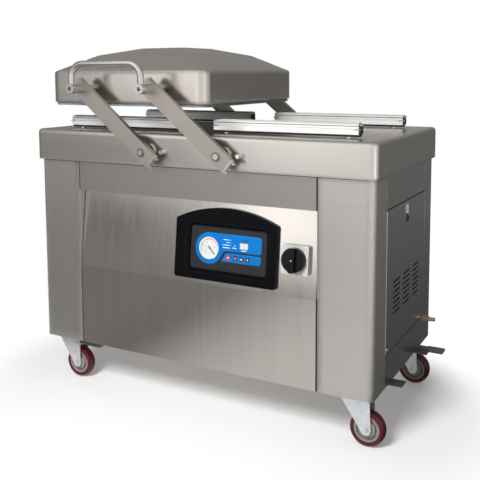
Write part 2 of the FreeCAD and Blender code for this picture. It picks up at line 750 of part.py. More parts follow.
# Seal bars
def seal_bar(side_x, side_y):
    top = BAR_Z + BAR_H
    half = BAR_LEN / 2
    x = side_x * BAR_X
    y = side_y * BAR_Y
    body = box(x - half, x + half, y - BAR_W / 2, y + BAR_W / 2, BAR_Z, top)
    for edge in (-1, 1):
        wall = y + edge * BAR_W / 2
        inner = wall - edge * BAR_GROOVE_DEPTH
        for share in (1, 2):
            z = BAR_Z + share * BAR_H / 3
            body = body.cut(box(x - half, x + half, min(wall, inner), max(wall, inner),
                                z - BAR_GROOVE / 2, z + BAR_GROOVE / 2))
    for end in (-1, 1):
        post_x = x + end * (half - POST_INSET)
        body = body.cut(rod_z(post_x, y, GUIDE_R + RUNNING, BAR_Z, BAR_Z + GUIDE_H + GUIDE_SPARE))
        start = x + half if end > 0 else x - half - END_PIN_LEN
        body = body.fuse(rod_x(y, BAR_Z + BAR_H / 2, END_PIN_R, start, start + END_PIN_LEN))
    strip = box(x - half, x + half, y - STRIP_W / 2, y + STRIP_W / 2, top, top + STRIP_H)
    return group([body, strip])


# Casters, drawn about their own swivel axis
def caster_plate():
    plate = box(-PLATE_W / 2, PLATE_W / 2, -PLATE_D / 2, PLATE_D / 2, PLATE_UNDER, CAB_BOTTOM)
    pin = rod_z(0, 0, KING_R, CROWN_LOW - TOUCH, PLATE_UNDER)
    head_top = CROWN_LOW - TOUCH
    head = rod_z(0, 0, KING_HEAD_R, head_top - KING_HEAD_H, head_top)
    return plate.fuse([pin, head])


def leg_outline(y):
    top = CROWN_LOW + CROWN_PLATE
    eye_low = WHEEL_R - AXLE_EYE_R
    k = AXLE_EYE_R * math.sqrt(0.5)
    left = V(TRAIL - k, y, WHEEL_R - k)
    right = V(TRAIL + AXLE_EYE_R, y, WHEEL_R)
    return Part.Wire([
        Part.LineSegment(V(-CROWN_BACK, y, top), left).toShape(),
        Part.Arc(left, V(TRAIL, y, eye_low), V(TRAIL + k, y, WHEEL_R - k)).toShape(),
        Part.LineSegment(V(TRAIL + k, y, WHEEL_R - k), right).toShape(),
        Part.LineSegment(right, V(CROWN_FRONT, y, top)).toShape(),
        Part.LineSegment(V(CROWN_FRONT, y, top), V(-CROWN_BACK, y, top)).toShape(),
    ])


def caster_fork(braked):
    crown = rod_z(0, 0, CROWN_R, CROWN_LOW, PLATE_UNDER - TOUCH)
    outer = LEG_IN + LEG_T
    shelf = box(-CROWN_BACK, CROWN_FRONT, -outer, outer, CROWN_LOW, CROWN_LOW + CROWN_PLATE)
    leg = Part.Face(leg_outline(-outer)).extrude(V(0, LEG_T, 0))
    fork = crown.fuse([shelf, leg, flip_y(leg)])
    fork = fork.cut(rod_z(0, 0, KING_R + RUNNING, CROWN_LOW, PLATE_UNDER))
    fork = fork.cut(rod_y(TRAIL, WHEEL_R, AXLE_R, -outer, outer))
    if braked:
        fork = fork.cut(rod_y(PEDAL_X, CROWN_LOW - PEDAL_DROP, PEDAL_PIN_R + RUNNING, -outer, outer))
    axle = rod_y(TRAIL, WHEEL_R, AXLE_R, -outer, outer)
    heads = []
    for side in (-1, 1):
        head = hexagon(AXLE_HEAD_R, AXLE_HEAD_H)
        head.rotate(V(0, 0, 0), V(1, 0, 0), 90)
        head.translate(V(TRAIL, -outer, WHEEL_R))
        heads.append(head if side < 0 else flip_y(head))
    return group([fork, axle.fuse(heads)])


def caster_wheel():
    half = WHEEL_W / 2
    tyre = rod_y(0, 0, WHEEL_R, -half, half)
    tyre = tyre.makeFillet(TYRE_EDGE, [e for e in tyre.Edges if len(e.Vertexes) == 1])
    tyre = tyre.cut(rod_y(0, 0, HUB_R, -half, half))
    hub = rod_y(0, 0, HUB_R - HUB_GAP, -half + LEG_T, half - LEG_T)
    boss = rod_y(0, 0, HUB_STEP_R, -LEG_IN + TOUCH, LEG_IN - TOUCH)
    hub = hub.fuse(boss).cut(rod_y(0, 0, AXLE_R + RUNNING, -LEG_IN, LEG_IN))
    wheel = group([tyre, hub])
    wheel.translate(V(TRAIL, 0, WHEEL_R))
    return wheel


def brake_pedal():
    z = CROWN_LOW - PEDAL_DROP
    half = PEDAL_T / 2
    neck_end = PEDAL_X + PEDAL_NECK_LEN
    neck = box(PEDAL_X, neck_end, -PEDAL_NECK_W / 2, PEDAL_NECK_W / 2, z - half, z + half)
    paddle = slab(neck_end - half, PEDAL_X + PEDAL_REACH, -PEDAL_W / 2, PEDAL_W / 2, half, z - half, z + half)
    eye = rod_y(PEDAL_X, z, half + PEDAL_PIN_R, -PEDAL_NECK_W / 2, PEDAL_NECK_W / 2)
    pin = rod_y(PEDAL_X, z, PEDAL_PIN_R, -LEG_IN - LEG_T, LEG_IN + LEG_T)
    return neck.fuse([paddle, eye, pin]).removeSplitter()


# Machinery on the base pan
def floor_block(x, length, width, height):
    z0 = CAB_BOTTOM + PAN_WALL
    return slab(x - length / 2, x + length / 2, -width / 2, width / 2, width / 10, z0, z0 + height)


def pump_motor():
    axis_z = CAB_BOTTOM + PAN_WALL + MOTOR_R
    start = PUMP_X - PUMP_L / 2 - MOTOR_L
    return rod_x(0, axis_z, MOTOR_R, start, start + MOTOR_L)


CORNERS = {
    "front_left": (-1, -1),
    "front_right": (1, -1),
    "rear_left": (-1, 1),
    "rear_right": (1, 1),
}
BRAKED = ("front_left", "rear_right")


def all_nodes():
    ring = cabinet_ring()
    left_post = front_left_post(ring)
    nodes = {
        "bed_table": bed_table(),
        "shaft_bushes": shaft_bushes(),
        "stop_bolts": stop_bolts(),
        "bar_posts": group([bar_post(x, y) for x, y in post_places()]),
        "suction_ports": group([suction_port(side * BAR_X) for side in (-1, 1)]),
        "front_left_post": left_post,
        "front_right_post": flip_x(left_post),
        "front_fascia": front_fascia(),
        "front_panel": front_panel(),
        "left_side_panel": left_side_panel(ring),
        "right_upper_panel": right_side_strip(ring, ACCESS_TOP, BED_UNDER),
        "right_lower_panel": right_side_strip(ring, CAB_BOTTOM, ACCESS_BOTTOM),
        "rear_panel": rear_panel(ring),
        "base_pan": base_pan(),
        "access_panel": access_panel(),
        "panel_latch": panel_latch(),
        "tie_down_brackets": group([tie_down_bracket(*corner) for corner in CORNERS.values()]),
        "gas_inlet_fitting": gas_inlet_fitting(),
        "control_bezel": control_bezel(),
        "control_plate": control_plate(),
        "gauge_body": gauge_body(),
        "gauge_needle": gauge_needle(),
        "switch_base": switch_base(),
        "switch_knob": switch_knob(),
        "lid_shell": lid_shell(),
        "lid_gasket": lid_gasket(),
        "seal_pads": group([seal_pad(side) for side in (-1, 1)]),
        "pad_holders": group([pad_holder(side) for side in (-1, 1)]),
        "handle": handle(),
        "vacuum_pump": floor_block(PUMP_X, PUMP_L, PUMP_W, PUMP_H),
        "pump_motor": pump_motor(),
        "seal_transformer": floor_block(COIL_X, COIL_SIZE, COIL_SIZE, COIL_SIZE),
    }
    studs = [pivot_stud(LID_X + side * PIVOT_X, rear) for side in (-1, 1) for rear in (False, True)]
    nodes["pivot_studs"] = group(studs)
    for name, x, clearance in (("left", -PIVOT_X, RUNNING), ("right", PIVOT_X, OPEN_PIVOT)):
        arm = swing_arm(x, clearance)
        nodes[name + "_front_arm"] = arm
        nodes[name + "_rear_arm"] = flip_y(arm)
        nodes[name + "_shaft"] = cross_shaft(x)
        nodes[name + "_arm_fixings"] = arm_fixings(x)
    for name, x in zip(("stop_key", "first_key", "second_key", "third_key"), key_places()):
        nodes[name] = key(x)
    plates = []
    for corner, (side_x, side_y) in CORNERS.items():
        x = side_x * CASTER_X
        y = side_y * CASTER_Y
        braked = corner in BRAKED
        plates.append(moved(caster_plate(), x, y, 0))
        nodes[corner + "_seal_bar"] = seal_bar(side_x, side_y)
        nodes[corner + "_fork"] = moved(caster_fork(braked), x, y, 0)
        nodes[corner + "_wheel"] = moved(caster_wheel(), x, y, 0)
        if braked:
            nodes[corner + "_brake_pedal"] = moved(brake_pedal(), x, y, 0)
    nodes["caster_plates"] = group(plates)
    return nodes


os.makedirs("parts", exist_ok=True)
for node, shape in all_nodes().items():
    shape.exportStep("parts/" + node + ".step")
    print(node, len(shape.Solids), "solids", shape.isValid(), round(shape.Volume))
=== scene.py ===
# %% [markdown]
# # A floor-standing vacuum sealer with one swing lid
# The machine is a stainless cabinet on four casters. One lid swings on four arms between two chambers.
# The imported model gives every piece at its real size, so this lesson never moves or resizes it.
# It adds finishes and fine forms such as the dial, and builds wheels, seal bars, stop bolts and handle anew.

# %% The frame
import bmesh
import bpy
import json
import math
from mathutils import Matrix, Vector


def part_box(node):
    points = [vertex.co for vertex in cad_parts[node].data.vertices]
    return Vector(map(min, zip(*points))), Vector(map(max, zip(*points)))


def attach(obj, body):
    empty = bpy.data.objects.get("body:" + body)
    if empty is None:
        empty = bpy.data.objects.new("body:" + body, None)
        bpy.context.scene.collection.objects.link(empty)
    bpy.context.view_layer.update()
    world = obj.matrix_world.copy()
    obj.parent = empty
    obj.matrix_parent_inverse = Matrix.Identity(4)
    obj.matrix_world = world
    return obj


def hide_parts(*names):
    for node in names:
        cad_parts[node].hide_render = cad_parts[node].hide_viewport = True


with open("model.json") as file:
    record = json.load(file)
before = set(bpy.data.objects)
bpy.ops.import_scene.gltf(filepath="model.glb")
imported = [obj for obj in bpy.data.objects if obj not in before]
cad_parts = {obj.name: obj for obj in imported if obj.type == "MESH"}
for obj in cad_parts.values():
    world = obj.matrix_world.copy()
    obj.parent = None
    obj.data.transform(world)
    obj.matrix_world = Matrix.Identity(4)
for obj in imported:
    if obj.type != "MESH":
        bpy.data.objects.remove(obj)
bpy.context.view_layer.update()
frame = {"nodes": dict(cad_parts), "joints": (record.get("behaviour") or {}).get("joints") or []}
NODES = frame["nodes"]
JOINTS = {joint["name"]: joint for joint in frame["joints"]}
MM = 0.001
CORNERS = ("front_left", "front_right", "rear_left", "rear_right")

# %% [markdown]
# ## Camera
# The photograph looks from the right, a little above the bed. Its upright lines stay almost parallel, as a
# product photographer gets with a shifted lens. A tilted camera would do too, but then the posts would lean.
# So the camera tilts a little and shifts a little.

# %% Camera
LENS = 54.93
LENS_SHIFT = -0.2
CAMERA_PLACE = Vector((1.118, -2.030, 0.986))
TURN_LEFT = 28.56
TILT_DOWN = 5.45
ROLL = -0.27


def placed(name, data):
    obj = bpy.data.objects.new(name, data)
    bpy.context.scene.collection.objects.link(obj)
    return obj


camera = placed("camera", bpy.data.cameras.new("camera"))
camera.data.lens = LENS
camera.data.shift_y = LENS_SHIFT
turn = Matrix.Rotation(math.radians(TURN_LEFT), 4, "Z")
tilt = Matrix.Rotation(math.radians(90 - TILT_DOWN), 4, "X")
roll = Matrix.Rotation(math.radians(ROLL), 4, "Z")
camera.matrix_world = Matrix.Translation(CAMERA_PLACE) @ turn @ tilt @ roll
bpy.context.scene.camera = camera
bpy.context.scene.view_settings.view_transform = "Standard"
print("camera at", [round(v, 3) for v in CAMERA_PLACE])

# %% [markdown]
# ## Node helpers
# Each finish is a small network of nodes. Writing out every link would hide the idea, so one helper adds a
# node together with the values and sockets that feed it. Another starts a group with named sockets. Groups
# hold the effects that several finishes share.

# %% Node helpers
def feed(tree, socket, value):
    if isinstance(value, bpy.types.NodeSocket):
        tree.links.new(value, socket)
    else:
        socket.default_value = value


def add(tree, kind, *sources, **values):
    node = tree.nodes.new(kind)
    for key, value in values.items():
        if hasattr(node, key):
            setattr(node, key, value)
        else:
            feed(tree, node.inputs[key.replace("_", " ")], value)
    for socket, source in zip(node.inputs, sources):
        feed(tree, socket, source)
    return node


def effect(name, label, kind, value, outputs=("Tone", "Height")):
    tree = bpy.data.node_groups.new(name, "ShaderNodeTree")
    tree.interface.new_socket(label, in_out="INPUT", socket_type=kind).default_value = value
    for output in outputs:
        tree.interface.new_socket(output, in_out="OUTPUT", socket_type="NodeSocketFloat")
    place = add(tree, "ShaderNodeTexCoord").outputs["Object"]
    return tree, add(tree, "NodeGroupInput").outputs[label], place


print("node helpers ready")

# %% [markdown]
# ## Brushed grain
# Stainless sheet is ground with a belt, which leaves fine streaks one way. Stretched noise is the plain way
# to draw them: it is squeezed across the grain and drawn out along it. A second, wider noise varies the tone.

# %% Brushed grain
WIDE_STREAK = 0.12
FINE_SHARE = 0.25


def maths(tree, operation, *sources, **values):
    return add(tree, "ShaderNodeMath", *sources, operation=operation, **values).outputs[0]


def vectors(tree, operation, *sources, **values):
    node = add(tree, "ShaderNodeVectorMath", *sources, operation=operation, **values)
    return node.outputs["Value" if operation in ("DOT_PRODUCT", "LENGTH") else "Vector"]


def noise(tree, place, scale, detail):
    return add(tree, "ShaderNodeTexNoise", Vector=place, Scale=scale, Detail=detail).outputs["Fac"]


def blended(tree, first, second, share):
    return maths(tree, "MULTIPLY_ADD", first, share, maths(tree, "MULTIPLY", second, 1 - share))


brushed, stretch, place = effect("brushed_grain", "Stretch", "NodeSocketVector", (600, 600, 8))
squeezed = vectors(brushed, "MULTIPLY", place, stretch)
fine = noise(brushed, squeezed, 1.0, 3.0)
wide = noise(brushed, vectors(brushed, "SCALE", squeezed, Scale=WIDE_STREAK), 1.0, 4.0)
add(brushed, "NodeGroupOutput", blended(brushed, fine, wide, FINE_SHARE), fine)
print("effect", brushed.name)

# %% [markdown]
# ## Moulded skin
# Moulded plastic, rubber and blasted metal have a fine pebble and faint cloudy patches. Two noises of
# different size give both: the fine one is the height, and the two together are the tone.

# %% Moulded skin
CLOUD_SCALE = 22.0
PEBBLE_SHARE = 0.35

moulded, grain_size, place = effect("moulded_skin", "Pebble", "NodeSocketFloat", 1800.0)
pebble = noise(moulded, place, grain_size, 2.0)
cloud = noise(moulded, place, CLOUD_SCALE, 5.0)
add(moulded, "NodeGroupOutput", blended(moulded, pebble, cloud, PEBBLE_SHARE), pebble)
print("effect", moulded.name)

# %% [markdown]
# ## Zinc spangle
# Plated steel shows small crystal patches with slightly different brightness. Voronoi cells are that pattern,
# and a noise blended in keeps the patches from looking like tiles.

# %% Zinc spangle
STREAK_SCALE = 45.0
PATCH_SHARE = 0.4

spangle, cell_size, place = effect("zinc_spangle", "Cells", "NodeSocketFloat", 160.0)
cells = add(spangle, "ShaderNodeTexVoronoi", Vector=place, Scale=cell_size).outputs["Color"]
patch = add(spangle, "ShaderNodeSeparateColor", cells).outputs["Red"]
streak = noise(spangle, place, STREAK_SCALE, 4.0)
add(spangle, "NodeGroupOutput", blended(spangle, patch, streak, PATCH_SHARE), streak)
print("effect", spangle.name)

# %% [markdown]
# ## Worn edges
# Handling polishes metal edges and rubs the shine off plastic ones. An edge is where a rounded normal leaves
# the true one, so the group compares the two and breaks the line up with noise.

# %% Worn edges
EDGE_GAIN = 3.0
BREAK_SCALE = 260.0
EDGE_SAMPLES = 4

worn, edge_radius, place = effect("worn_edges", "Radius", "NodeSocketFloat", 0.0015, ["Mask"])
rounded = add(worn, "ShaderNodeBevel", samples=EDGE_SAMPLES, Radius=edge_radius).outputs["Normal"]
true = add(worn, "ShaderNodeNewGeometry").outputs["Normal"]
away = maths(worn, "SUBTRACT", 1.0, vectors(worn, "DOT_PRODUCT", rounded, true))
gain = maths(worn, "MULTIPLY", away, EDGE_GAIN)
broken = noise(worn, place, BREAK_SCALE, 3.0)
add(worn, "NodeGroupOutput", maths(worn, "MULTIPLY", gain, broken, use_clamp=True))
print("effect", worn.name)

# %% [markdown]
# ## One way to write a finish
# A finish is two tones that an effect blends, a range of roughness, a little bump and an edge colour. The
# true edges of sheet metal have a small radius, which a rounded normal shows without more geometry. Each
# finish is kept under its name.

# %% Finishes
GRAIN_DEEP = 0.0002
LOOKS = {}


def mix_colours(tree, factor, low, high):
    node = add(tree, "ShaderNodeMix", factor, data_type="RGBA")
    for socket, colour in ((node.inputs[6], low), (node.inputs[7], high)):
        feed(tree, socket, (*colour, 1.0) if isinstance(colour, tuple) else colour)
    return node.outputs[2]


def skinned(name, dark, light, skin, grain, rough):
    material = bpy.data.materials.new(name)
    material.use_nodes = True
    LOOKS[name] = material
    tree = material.node_tree
    shader = tree.nodes["Principled BSDF"].inputs
    surface = add(tree, "ShaderNodeGroup", grain, node_tree=skin).outputs
    spread = add(tree, "ShaderNodeMapRange", Value=surface["Tone"], To_Min=rough[0], To_Max=rough[1])
    feed(tree, shader["Roughness"], spread.outputs["Result"])
    return tree, shader, mix_colours(tree, surface["Tone"], dark, light), surface["Height"]


def finish(name, dark, light, skin, grain, rough, edge, metal=0.0, bump=0.1, shine=0.5, rounding=0.0008,
           wear=0.0016):
    tree, shader, body, height = skinned(name, dark, light, skin, grain, rough)
    edges = add(tree, "ShaderNodeGroup", wear, node_tree=worn).outputs["Mask"]
    soft = add(tree, "ShaderNodeBevel", samples=EDGE_SAMPLES, Radius=rounding).outputs["Normal"]
    relief = add(tree, "ShaderNodeBump", Strength=bump, Distance=GRAIN_DEEP, Height=height, Normal=soft)
    feed(tree, shader["Base Color"], mix_colours(tree, edges, body, edge))
    feed(tree, shader["Normal"], relief.outputs["Normal"])
    shader["Metallic"].default_value = metal
    shader["Specular IOR Level"].default_value = shine


print("finishes use", [group.name for group in bpy.data.node_groups])

# %% [markdown]
# ## Stainless steel and the other metals
# The cabinet sheet has upright grain, the bed has grain along its length. The arms are bead-blasted and
# warmer. Seal bars are drawn aluminium, forks are zinc plated, the gas inlet is brass. Most differ only in
# tone and grain, so one function holds what brushed metals share, and one what moulded skins share.

# %% Metals
UPRIGHT = (650, 650, 7)
LENGTHWAYS = (7, 650, 650)
ROUND_ABOUT = (90, 420, 420)
STEEL_EDGE = (0.80, 0.78, 0.75)


def brushed_metal(name, dark, light, grain, rough, edge=STEEL_EDGE, metal=1.0, bump=0.02, **more):
    finish(name, dark, light, brushed, grain, rough, edge, metal=metal, bump=bump, **more)


def moulding(name, dark, light, grain, rough, edge, **more):
    finish(name, dark, light, moulded, grain, rough, edge, **more)


brushed_metal("panel_steel", (0.545, 0.51, 0.472), (0.64, 0.60, 0.557), UPRIGHT, (0.17, 0.24))
brushed_metal("post_steel", (0.55, 0.525, 0.495), (0.62, 0.595, 0.565), LENGTHWAYS, (0.36, 0.44),
              rounding=0.024)
# The fascia under the bed takes a darker copy of the stainless sheet, which paints the shade under the bed's
# overhang.
brushed_metal("shaded_fascia_steel", (0.39, 0.37, 0.345), (0.47, 0.45, 0.42), UPRIGHT, (0.48, 0.56), bump=0.03)
brushed_metal("lid_steel", (0.56, 0.522, 0.481), (0.64, 0.598, 0.553), UPRIGHT, (0.22, 0.30),
              rounding=0.012)
# The bed's lighter edge band reaches ten millimetres in, so it is handling wear and also paints a broad
# highlight along the bed's edges.
brushed_metal("bed_steel", (0.57, 0.535, 0.50), (0.65, 0.612, 0.572), LENGTHWAYS, (0.26, 0.33), bump=0.01,
              rounding=0.010, wear=0.010)
moulding("arm_steel", (0.47, 0.43, 0.385), (0.57, 0.525, 0.475), 1400.0, (0.40, 0.52), (0.60, 0.56, 0.51),
         metal=1.0, bump=0.12)
brushed_metal("tube_steel", (0.55, 0.53, 0.50), (0.68, 0.66, 0.63), ROUND_ABOUT, (0.24, 0.34))
# On the access panel's front edge this lighter steel paints the edge's highlight; on the other parts it is
# their own bright steel.
brushed_metal("bright_steel_and_edge_highlight", (0.60, 0.60, 0.595), (0.78, 0.78, 0.77), ROUND_ABOUT, (0.14, 0.24),
              (0.9, 0.9, 0.89), bump=0.04, rounding=0.0004)
brushed_metal("fixing_steel", (0.56, 0.55, 0.535), (0.72, 0.71, 0.69), ROUND_ABOUT, (0.24, 0.36),
              (0.72, 0.71, 0.70), bump=0.05, rounding=0.0006)
brushed_metal("bar_aluminium", (0.86, 0.86, 0.85), (0.94, 0.94, 0.93), LENGTHWAYS, (0.28, 0.36),
              (0.96, 0.96, 0.95), metal=0.5, rounding=0.0005)
finish("zinc_steel", (0.56, 0.59, 0.61), (0.80, 0.83, 0.85), spangle, 160.0, (0.30, 0.46),
       (0.86, 0.88, 0.9), metal=0.9, bump=0.08)
brushed_metal("inlet_brass", (0.38, 0.31, 0.22), (0.54, 0.45, 0.33), ROUND_ABOUT, (0.24, 0.36),
              (0.68, 0.58, 0.42), bump=0.04, rounding=0.0004)
moulding("black_steel", (0.030, 0.033, 0.032), (0.075, 0.080, 0.078), 900.0, (0.38, 0.55),
         (0.20, 0.20, 0.19), metal=0.3, bump=0.12)
# This grey is the washers' own colour, and it also colours the strips in the seal bars' upper grooves, where it
# paints the grooves' shade.
brushed_metal("washer_and_groove_shade_grey", (0.20, 0.195, 0.185), (0.32, 0.31, 0.30), ROUND_ABOUT, (0.28, 0.40),
              (0.50, 0.49, 0.48), bump=0.06, rounding=0.0004)
print(len(LOOKS), "metals")

# %% [markdown]
# ## Plastics, rubber and paint
# The bezel is smooth black moulding, the plate behind it is matt dark grey. The overlay is a printed film,
# the tyres are maroon polyurethane and the lid's gasket is blue-grey silicone. Printed inks differ only in
# colour, so they share one function.

# %% Plastics
# This near-black finish paints shade: the strips in the sheet joints, under the bed, under the seal bars and at
# the access pull take it.
moulding("painted_shade_black", (0.006, 0.006, 0.006), (0.020, 0.020, 0.020), 900.0, (0.60, 0.80),
         (0.03, 0.03, 0.03), rounding=0.0002)
moulding("bezel_black", (0.002, 0.002, 0.0025), (0.006, 0.006, 0.007), 1600.0, (0.22, 0.34),
         (0.12, 0.12, 0.125), bump=0.04, shine=0.03, rounding=0.0015)
moulding("plate_grey", (0.018, 0.019, 0.021), (0.034, 0.035, 0.038), 1200.0, (0.42, 0.58),
         (0.06, 0.06, 0.065), shine=0.08)
moulding("overlay_blue", (0.001, 0.135, 0.43), (0.002, 0.170, 0.52), 2600.0, (0.30, 0.40),
         (0.01, 0.22, 0.62), bump=0.02, shine=0.06, rounding=0.0002)
moulding("knob_black", (0.003, 0.003, 0.0035), (0.009, 0.009, 0.010), 1500.0, (0.12, 0.24),
         (0.05, 0.05, 0.052), bump=0.03, shine=0.10, rounding=0.0012)
moulding("switch_grey", (0.46, 0.47, 0.46), (0.58, 0.59, 0.58), 1500.0, (0.38, 0.52), (0.66, 0.67, 0.66),
         bump=0.06)
moulding("red_key_skin", (0.55, 0.015, 0.018), (0.75, 0.04, 0.04), 2200.0, (0.30, 0.42),
         (0.80, 0.14, 0.12), bump=0.05, rounding=0.0006)
moulding("black_key_skin", (0.018, 0.018, 0.020), (0.045, 0.045, 0.05), 2200.0, (0.34, 0.46),
         (0.12, 0.12, 0.125), bump=0.05, rounding=0.0006)
moulding("dial_white", (0.80, 0.80, 0.78), (0.92, 0.92, 0.90), 1800.0, (0.42, 0.55), (0.94, 0.94, 0.93),
         bump=0.02, rounding=0.0002)
moulding("gasket_rubber", (0.15, 0.18, 0.21), (0.25, 0.29, 0.33), 900.0, (0.52, 0.68), (0.32, 0.36, 0.40),
         bump=0.12)
moulding("pad_rubber", (0.44, 0.40, 0.35), (0.56, 0.52, 0.46), 900.0, (0.60, 0.75), (0.62, 0.58, 0.52),
         bump=0.15)
moulding("tyre_maroon", (0.055, 0.002, 0.008), (0.105, 0.005, 0.016), 700.0, (0.26, 0.40),
         (0.14, 0.02, 0.03), shine=0.35, rounding=0.0012)
moulding("hub_grey", (0.20, 0.18, 0.155), (0.30, 0.275, 0.24), 1000.0, (0.42, 0.56), (0.38, 0.35, 0.31))
moulding("pedal_grey", (0.075, 0.080, 0.082), (0.125, 0.130, 0.134), 900.0, (0.40, 0.55),
         (0.22, 0.225, 0.23), bump=0.12)
finish("band_tan", (0.46, 0.43, 0.39), (0.60, 0.57, 0.52), brushed, LENGTHWAYS, (0.40, 0.55),
       (0.66, 0.63, 0.58), rounding=0.0004)
moulding("casing_grey", (0.13, 0.15, 0.16), (0.20, 0.22, 0.235), 600.0, (0.45, 0.60), (0.30, 0.32, 0.33),
         bump=0.15)
moulding("motor_blue", (0.030, 0.070, 0.14), (0.055, 0.115, 0.21), 600.0, (0.40, 0.55), (0.16, 0.24, 0.34),
         bump=0.15)


def printed(name, dark, light, edge, rough=(0.40, 0.52), grain=2400.0, rounding=0.0001):
    moulding(name, dark, light, grain, rough, edge, bump=0.02, rounding=rounding)


printed("print_black", (0.006, 0.006, 0.007), (0.020, 0.020, 0.022), (0.05, 0.05, 0.05), (0.40, 0.55),
        2600.0)
print(len(LOOKS), "finishes so far")

# %% [markdown]
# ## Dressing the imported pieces
# A piece whose shape is right keeps its solid and only takes a finish. Assigning to its material slot does
# that and leaves the mesh alone.

# %% Dressed nodes
DRESS = {
    "panel_steel": ("front_panel", "left_side_panel", "right_upper_panel", "right_lower_panel", "rear_panel",
                    "access_panel", "base_pan"),
    "post_steel": ("front_left_post", "front_right_post"),
    "shaded_fascia_steel": ("front_fascia",),
    "lid_steel": ("lid_shell", "pad_holders"),
    "bed_steel": ("bed_table", "suction_ports"),
    "arm_steel": ("left_front_arm", "left_rear_arm", "right_front_arm", "right_rear_arm"),
    "tube_steel": ("pivot_studs",),
    "bright_steel_and_edge_highlight": ("shaft_bushes", "bar_posts", "panel_latch", "left_shaft", "right_shaft"),
    "fixing_steel": ("left_arm_fixings", "right_arm_fixings"),
    "zinc_steel": tuple(corner + "_fork" for corner in CORNERS),
    "inlet_brass": ("gas_inlet_fitting",),
    "black_steel": ("tie_down_brackets", "caster_plates"),
    "bezel_black": ("control_bezel",),
    "plate_grey": ("control_plate",),
    "knob_black": ("switch_knob",),
    "switch_grey": ("switch_base",),
    "red_key_skin": ("stop_key",),
    "black_key_skin": ("first_key", "second_key", "third_key"),
    "dial_white": ("gauge_body",),
    "print_black": ("gauge_needle",),
    "gasket_rubber": ("lid_gasket",),
    "pad_rubber": ("seal_pads",),
    "pedal_grey": ("front_left_brake_pedal", "rear_right_brake_pedal"),
    "casing_grey": ("vacuum_pump", "seal_transformer"),
    "motor_blue": ("pump_motor",),
}


def dress(node, look):
    target = NODES[node]
    if not target.material_slots:
        target.data.materials.append(LOOKS[look])
    for slot in target.material_slots:
        slot.material = LOOKS[look]


for look, names in DRESS.items():
    for name in names:
        dress(name, look)
print(sum(len(names) for names in DRESS.values()), "nodes dressed")

# %% [markdown]
# ## Mesh helpers
# New pieces are turned or drawn, as their real ones are. Turning sweeps an outline round an axis, and drawing
# pushes it along a line. Modifiers could do both, but points worked out in the machine's own frame need no
# placing afterwards.

# %% Mesh helpers
SHARP = math.radians(35)
WELD = 1e-6
NO_LENGTH = 1e-7


def shade(mesh):
    mesh.shade_smooth()
    mesh.set_sharp_from_angle(angle=SHARP)
    return mesh


def smooth(mesh):
    work = bmesh.new()
    work.from_mesh(mesh)
    bmesh.ops.remove_doubles(work, verts=work.verts, dist=WELD)
    bmesh.ops.dissolve_degenerate(work, edges=work.edges, dist=NO_LENGTH)
    bmesh.ops.recalc_face_normals(work, faces=work.faces)
    work.to_mesh(mesh)
    work.free()
    return shade(mesh)


def solid(points, faces):
    mesh = bpy.data.meshes.new("solid")
    mesh.from_pydata(points, [], faces)
    return smooth(mesh)


def turned(profile, centre, axis, steps):
    side = axis.orthogonal().normalized()
    other = axis.cross(side)
    points = []
    for i in range(steps):
        angle = 2 * math.pi * i / steps
        out = side * math.cos(angle) + other * math.sin(angle)
        points += [centre + out * (r * MM) + axis * (h * MM) for r, h in profile]
    n = len(profile)
    faces = []
    for i in range(steps):
        j = (i + 1) % steps
        faces += [(i * n + k, j * n + k, j * n + (k + 1) % n, i * n + (k + 1) % n) for k in range(n)]
    return solid(points, faces)


def drawn(profile, start, along, across, up):
    n = len(profile)
    near = [start + across * (a * MM) + up * (b * MM) for a, b in profile]
    faces = [(k, (k + 1) % n, n + (k + 1) % n, n + k) for k in range(n)]
    faces += [tuple(range(n)), tuple(range(n, 2 * n))]
    return solid(near + [p + along for p in near], faces)


def joined(meshes):
    work = bmesh.new()
    for mesh in meshes:
        work.from_mesh(mesh)
    result = bpy.data.meshes.new("joined")
    work.to_mesh(result)
    work.free()
    return shade(result)


print("edges over", round(math.degrees(SHARP)), "degrees stay sharp")

# %% [markdown]
# ## Pieces and outlines
# A piece is a mesh, or several joined, with a finish, the body it rides on and the imported nodes it stands
# in for. Round stretches of an outline are arcs, worked out here. Outlines are in millimetres.

# %% Pieces and outlines
def piece(name, shape, look, body, replaced=()):
    mesh = joined(shape) if isinstance(shape, list) else shape
    obj = placed(name, mesh)
    mesh.name = name
    mesh.materials.clear()
    mesh.materials.append(LOOKS[look])
    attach(obj, body)
    if replaced:
        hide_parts(*replaced)
    print(name, len(mesh.polygons), "faces on", body)


def middle_of(node):
    low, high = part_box(node)
    return (low + high) / 2


def polar(r, degrees):
    angle = math.radians(degrees)
    return r * math.cos(angle), r * math.sin(angle)


def arc(x, y, r, first, last, steps):
    spots = [polar(r, first + (last - first) * i / steps) for i in range(steps + 1)]
    return [(x + a, y + b) for a, b in spots]


def round_box(x, y, half_x, half_y, r):
    left, right = x - half_x + r, x + half_x - r
    low, high = y - half_y + r, y + half_y - r
    return (arc(right, low, r, -90, 0, 6) + arc(right, high, r, 0, 90, 6)
            + arc(left, high, r, 90, 180, 6) + arc(left, low, r, 180, 270, 6))


print("a round box has", len(round_box(0, 0, 2, 2, 1)), "points")

# %% [markdown]
# ## Wheels
# Each caster wheel is a maroon tyre cast on a grey hub with a deep ring groove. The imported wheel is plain, so
# it is replaced by two turned pieces: a tyre with a crowned tread, and a hub with its rim, groove and boss.

# %% Wheels
WHEEL_R = 49.0
WHEEL_HALF = 15.0
RIM_R = 36.0
RIM_EDGE = 1.2
SHOULDER = 7.0
CROWN = 1.2
BORE = 5.2
ACROSS_BED = Vector((0, 1, 0))

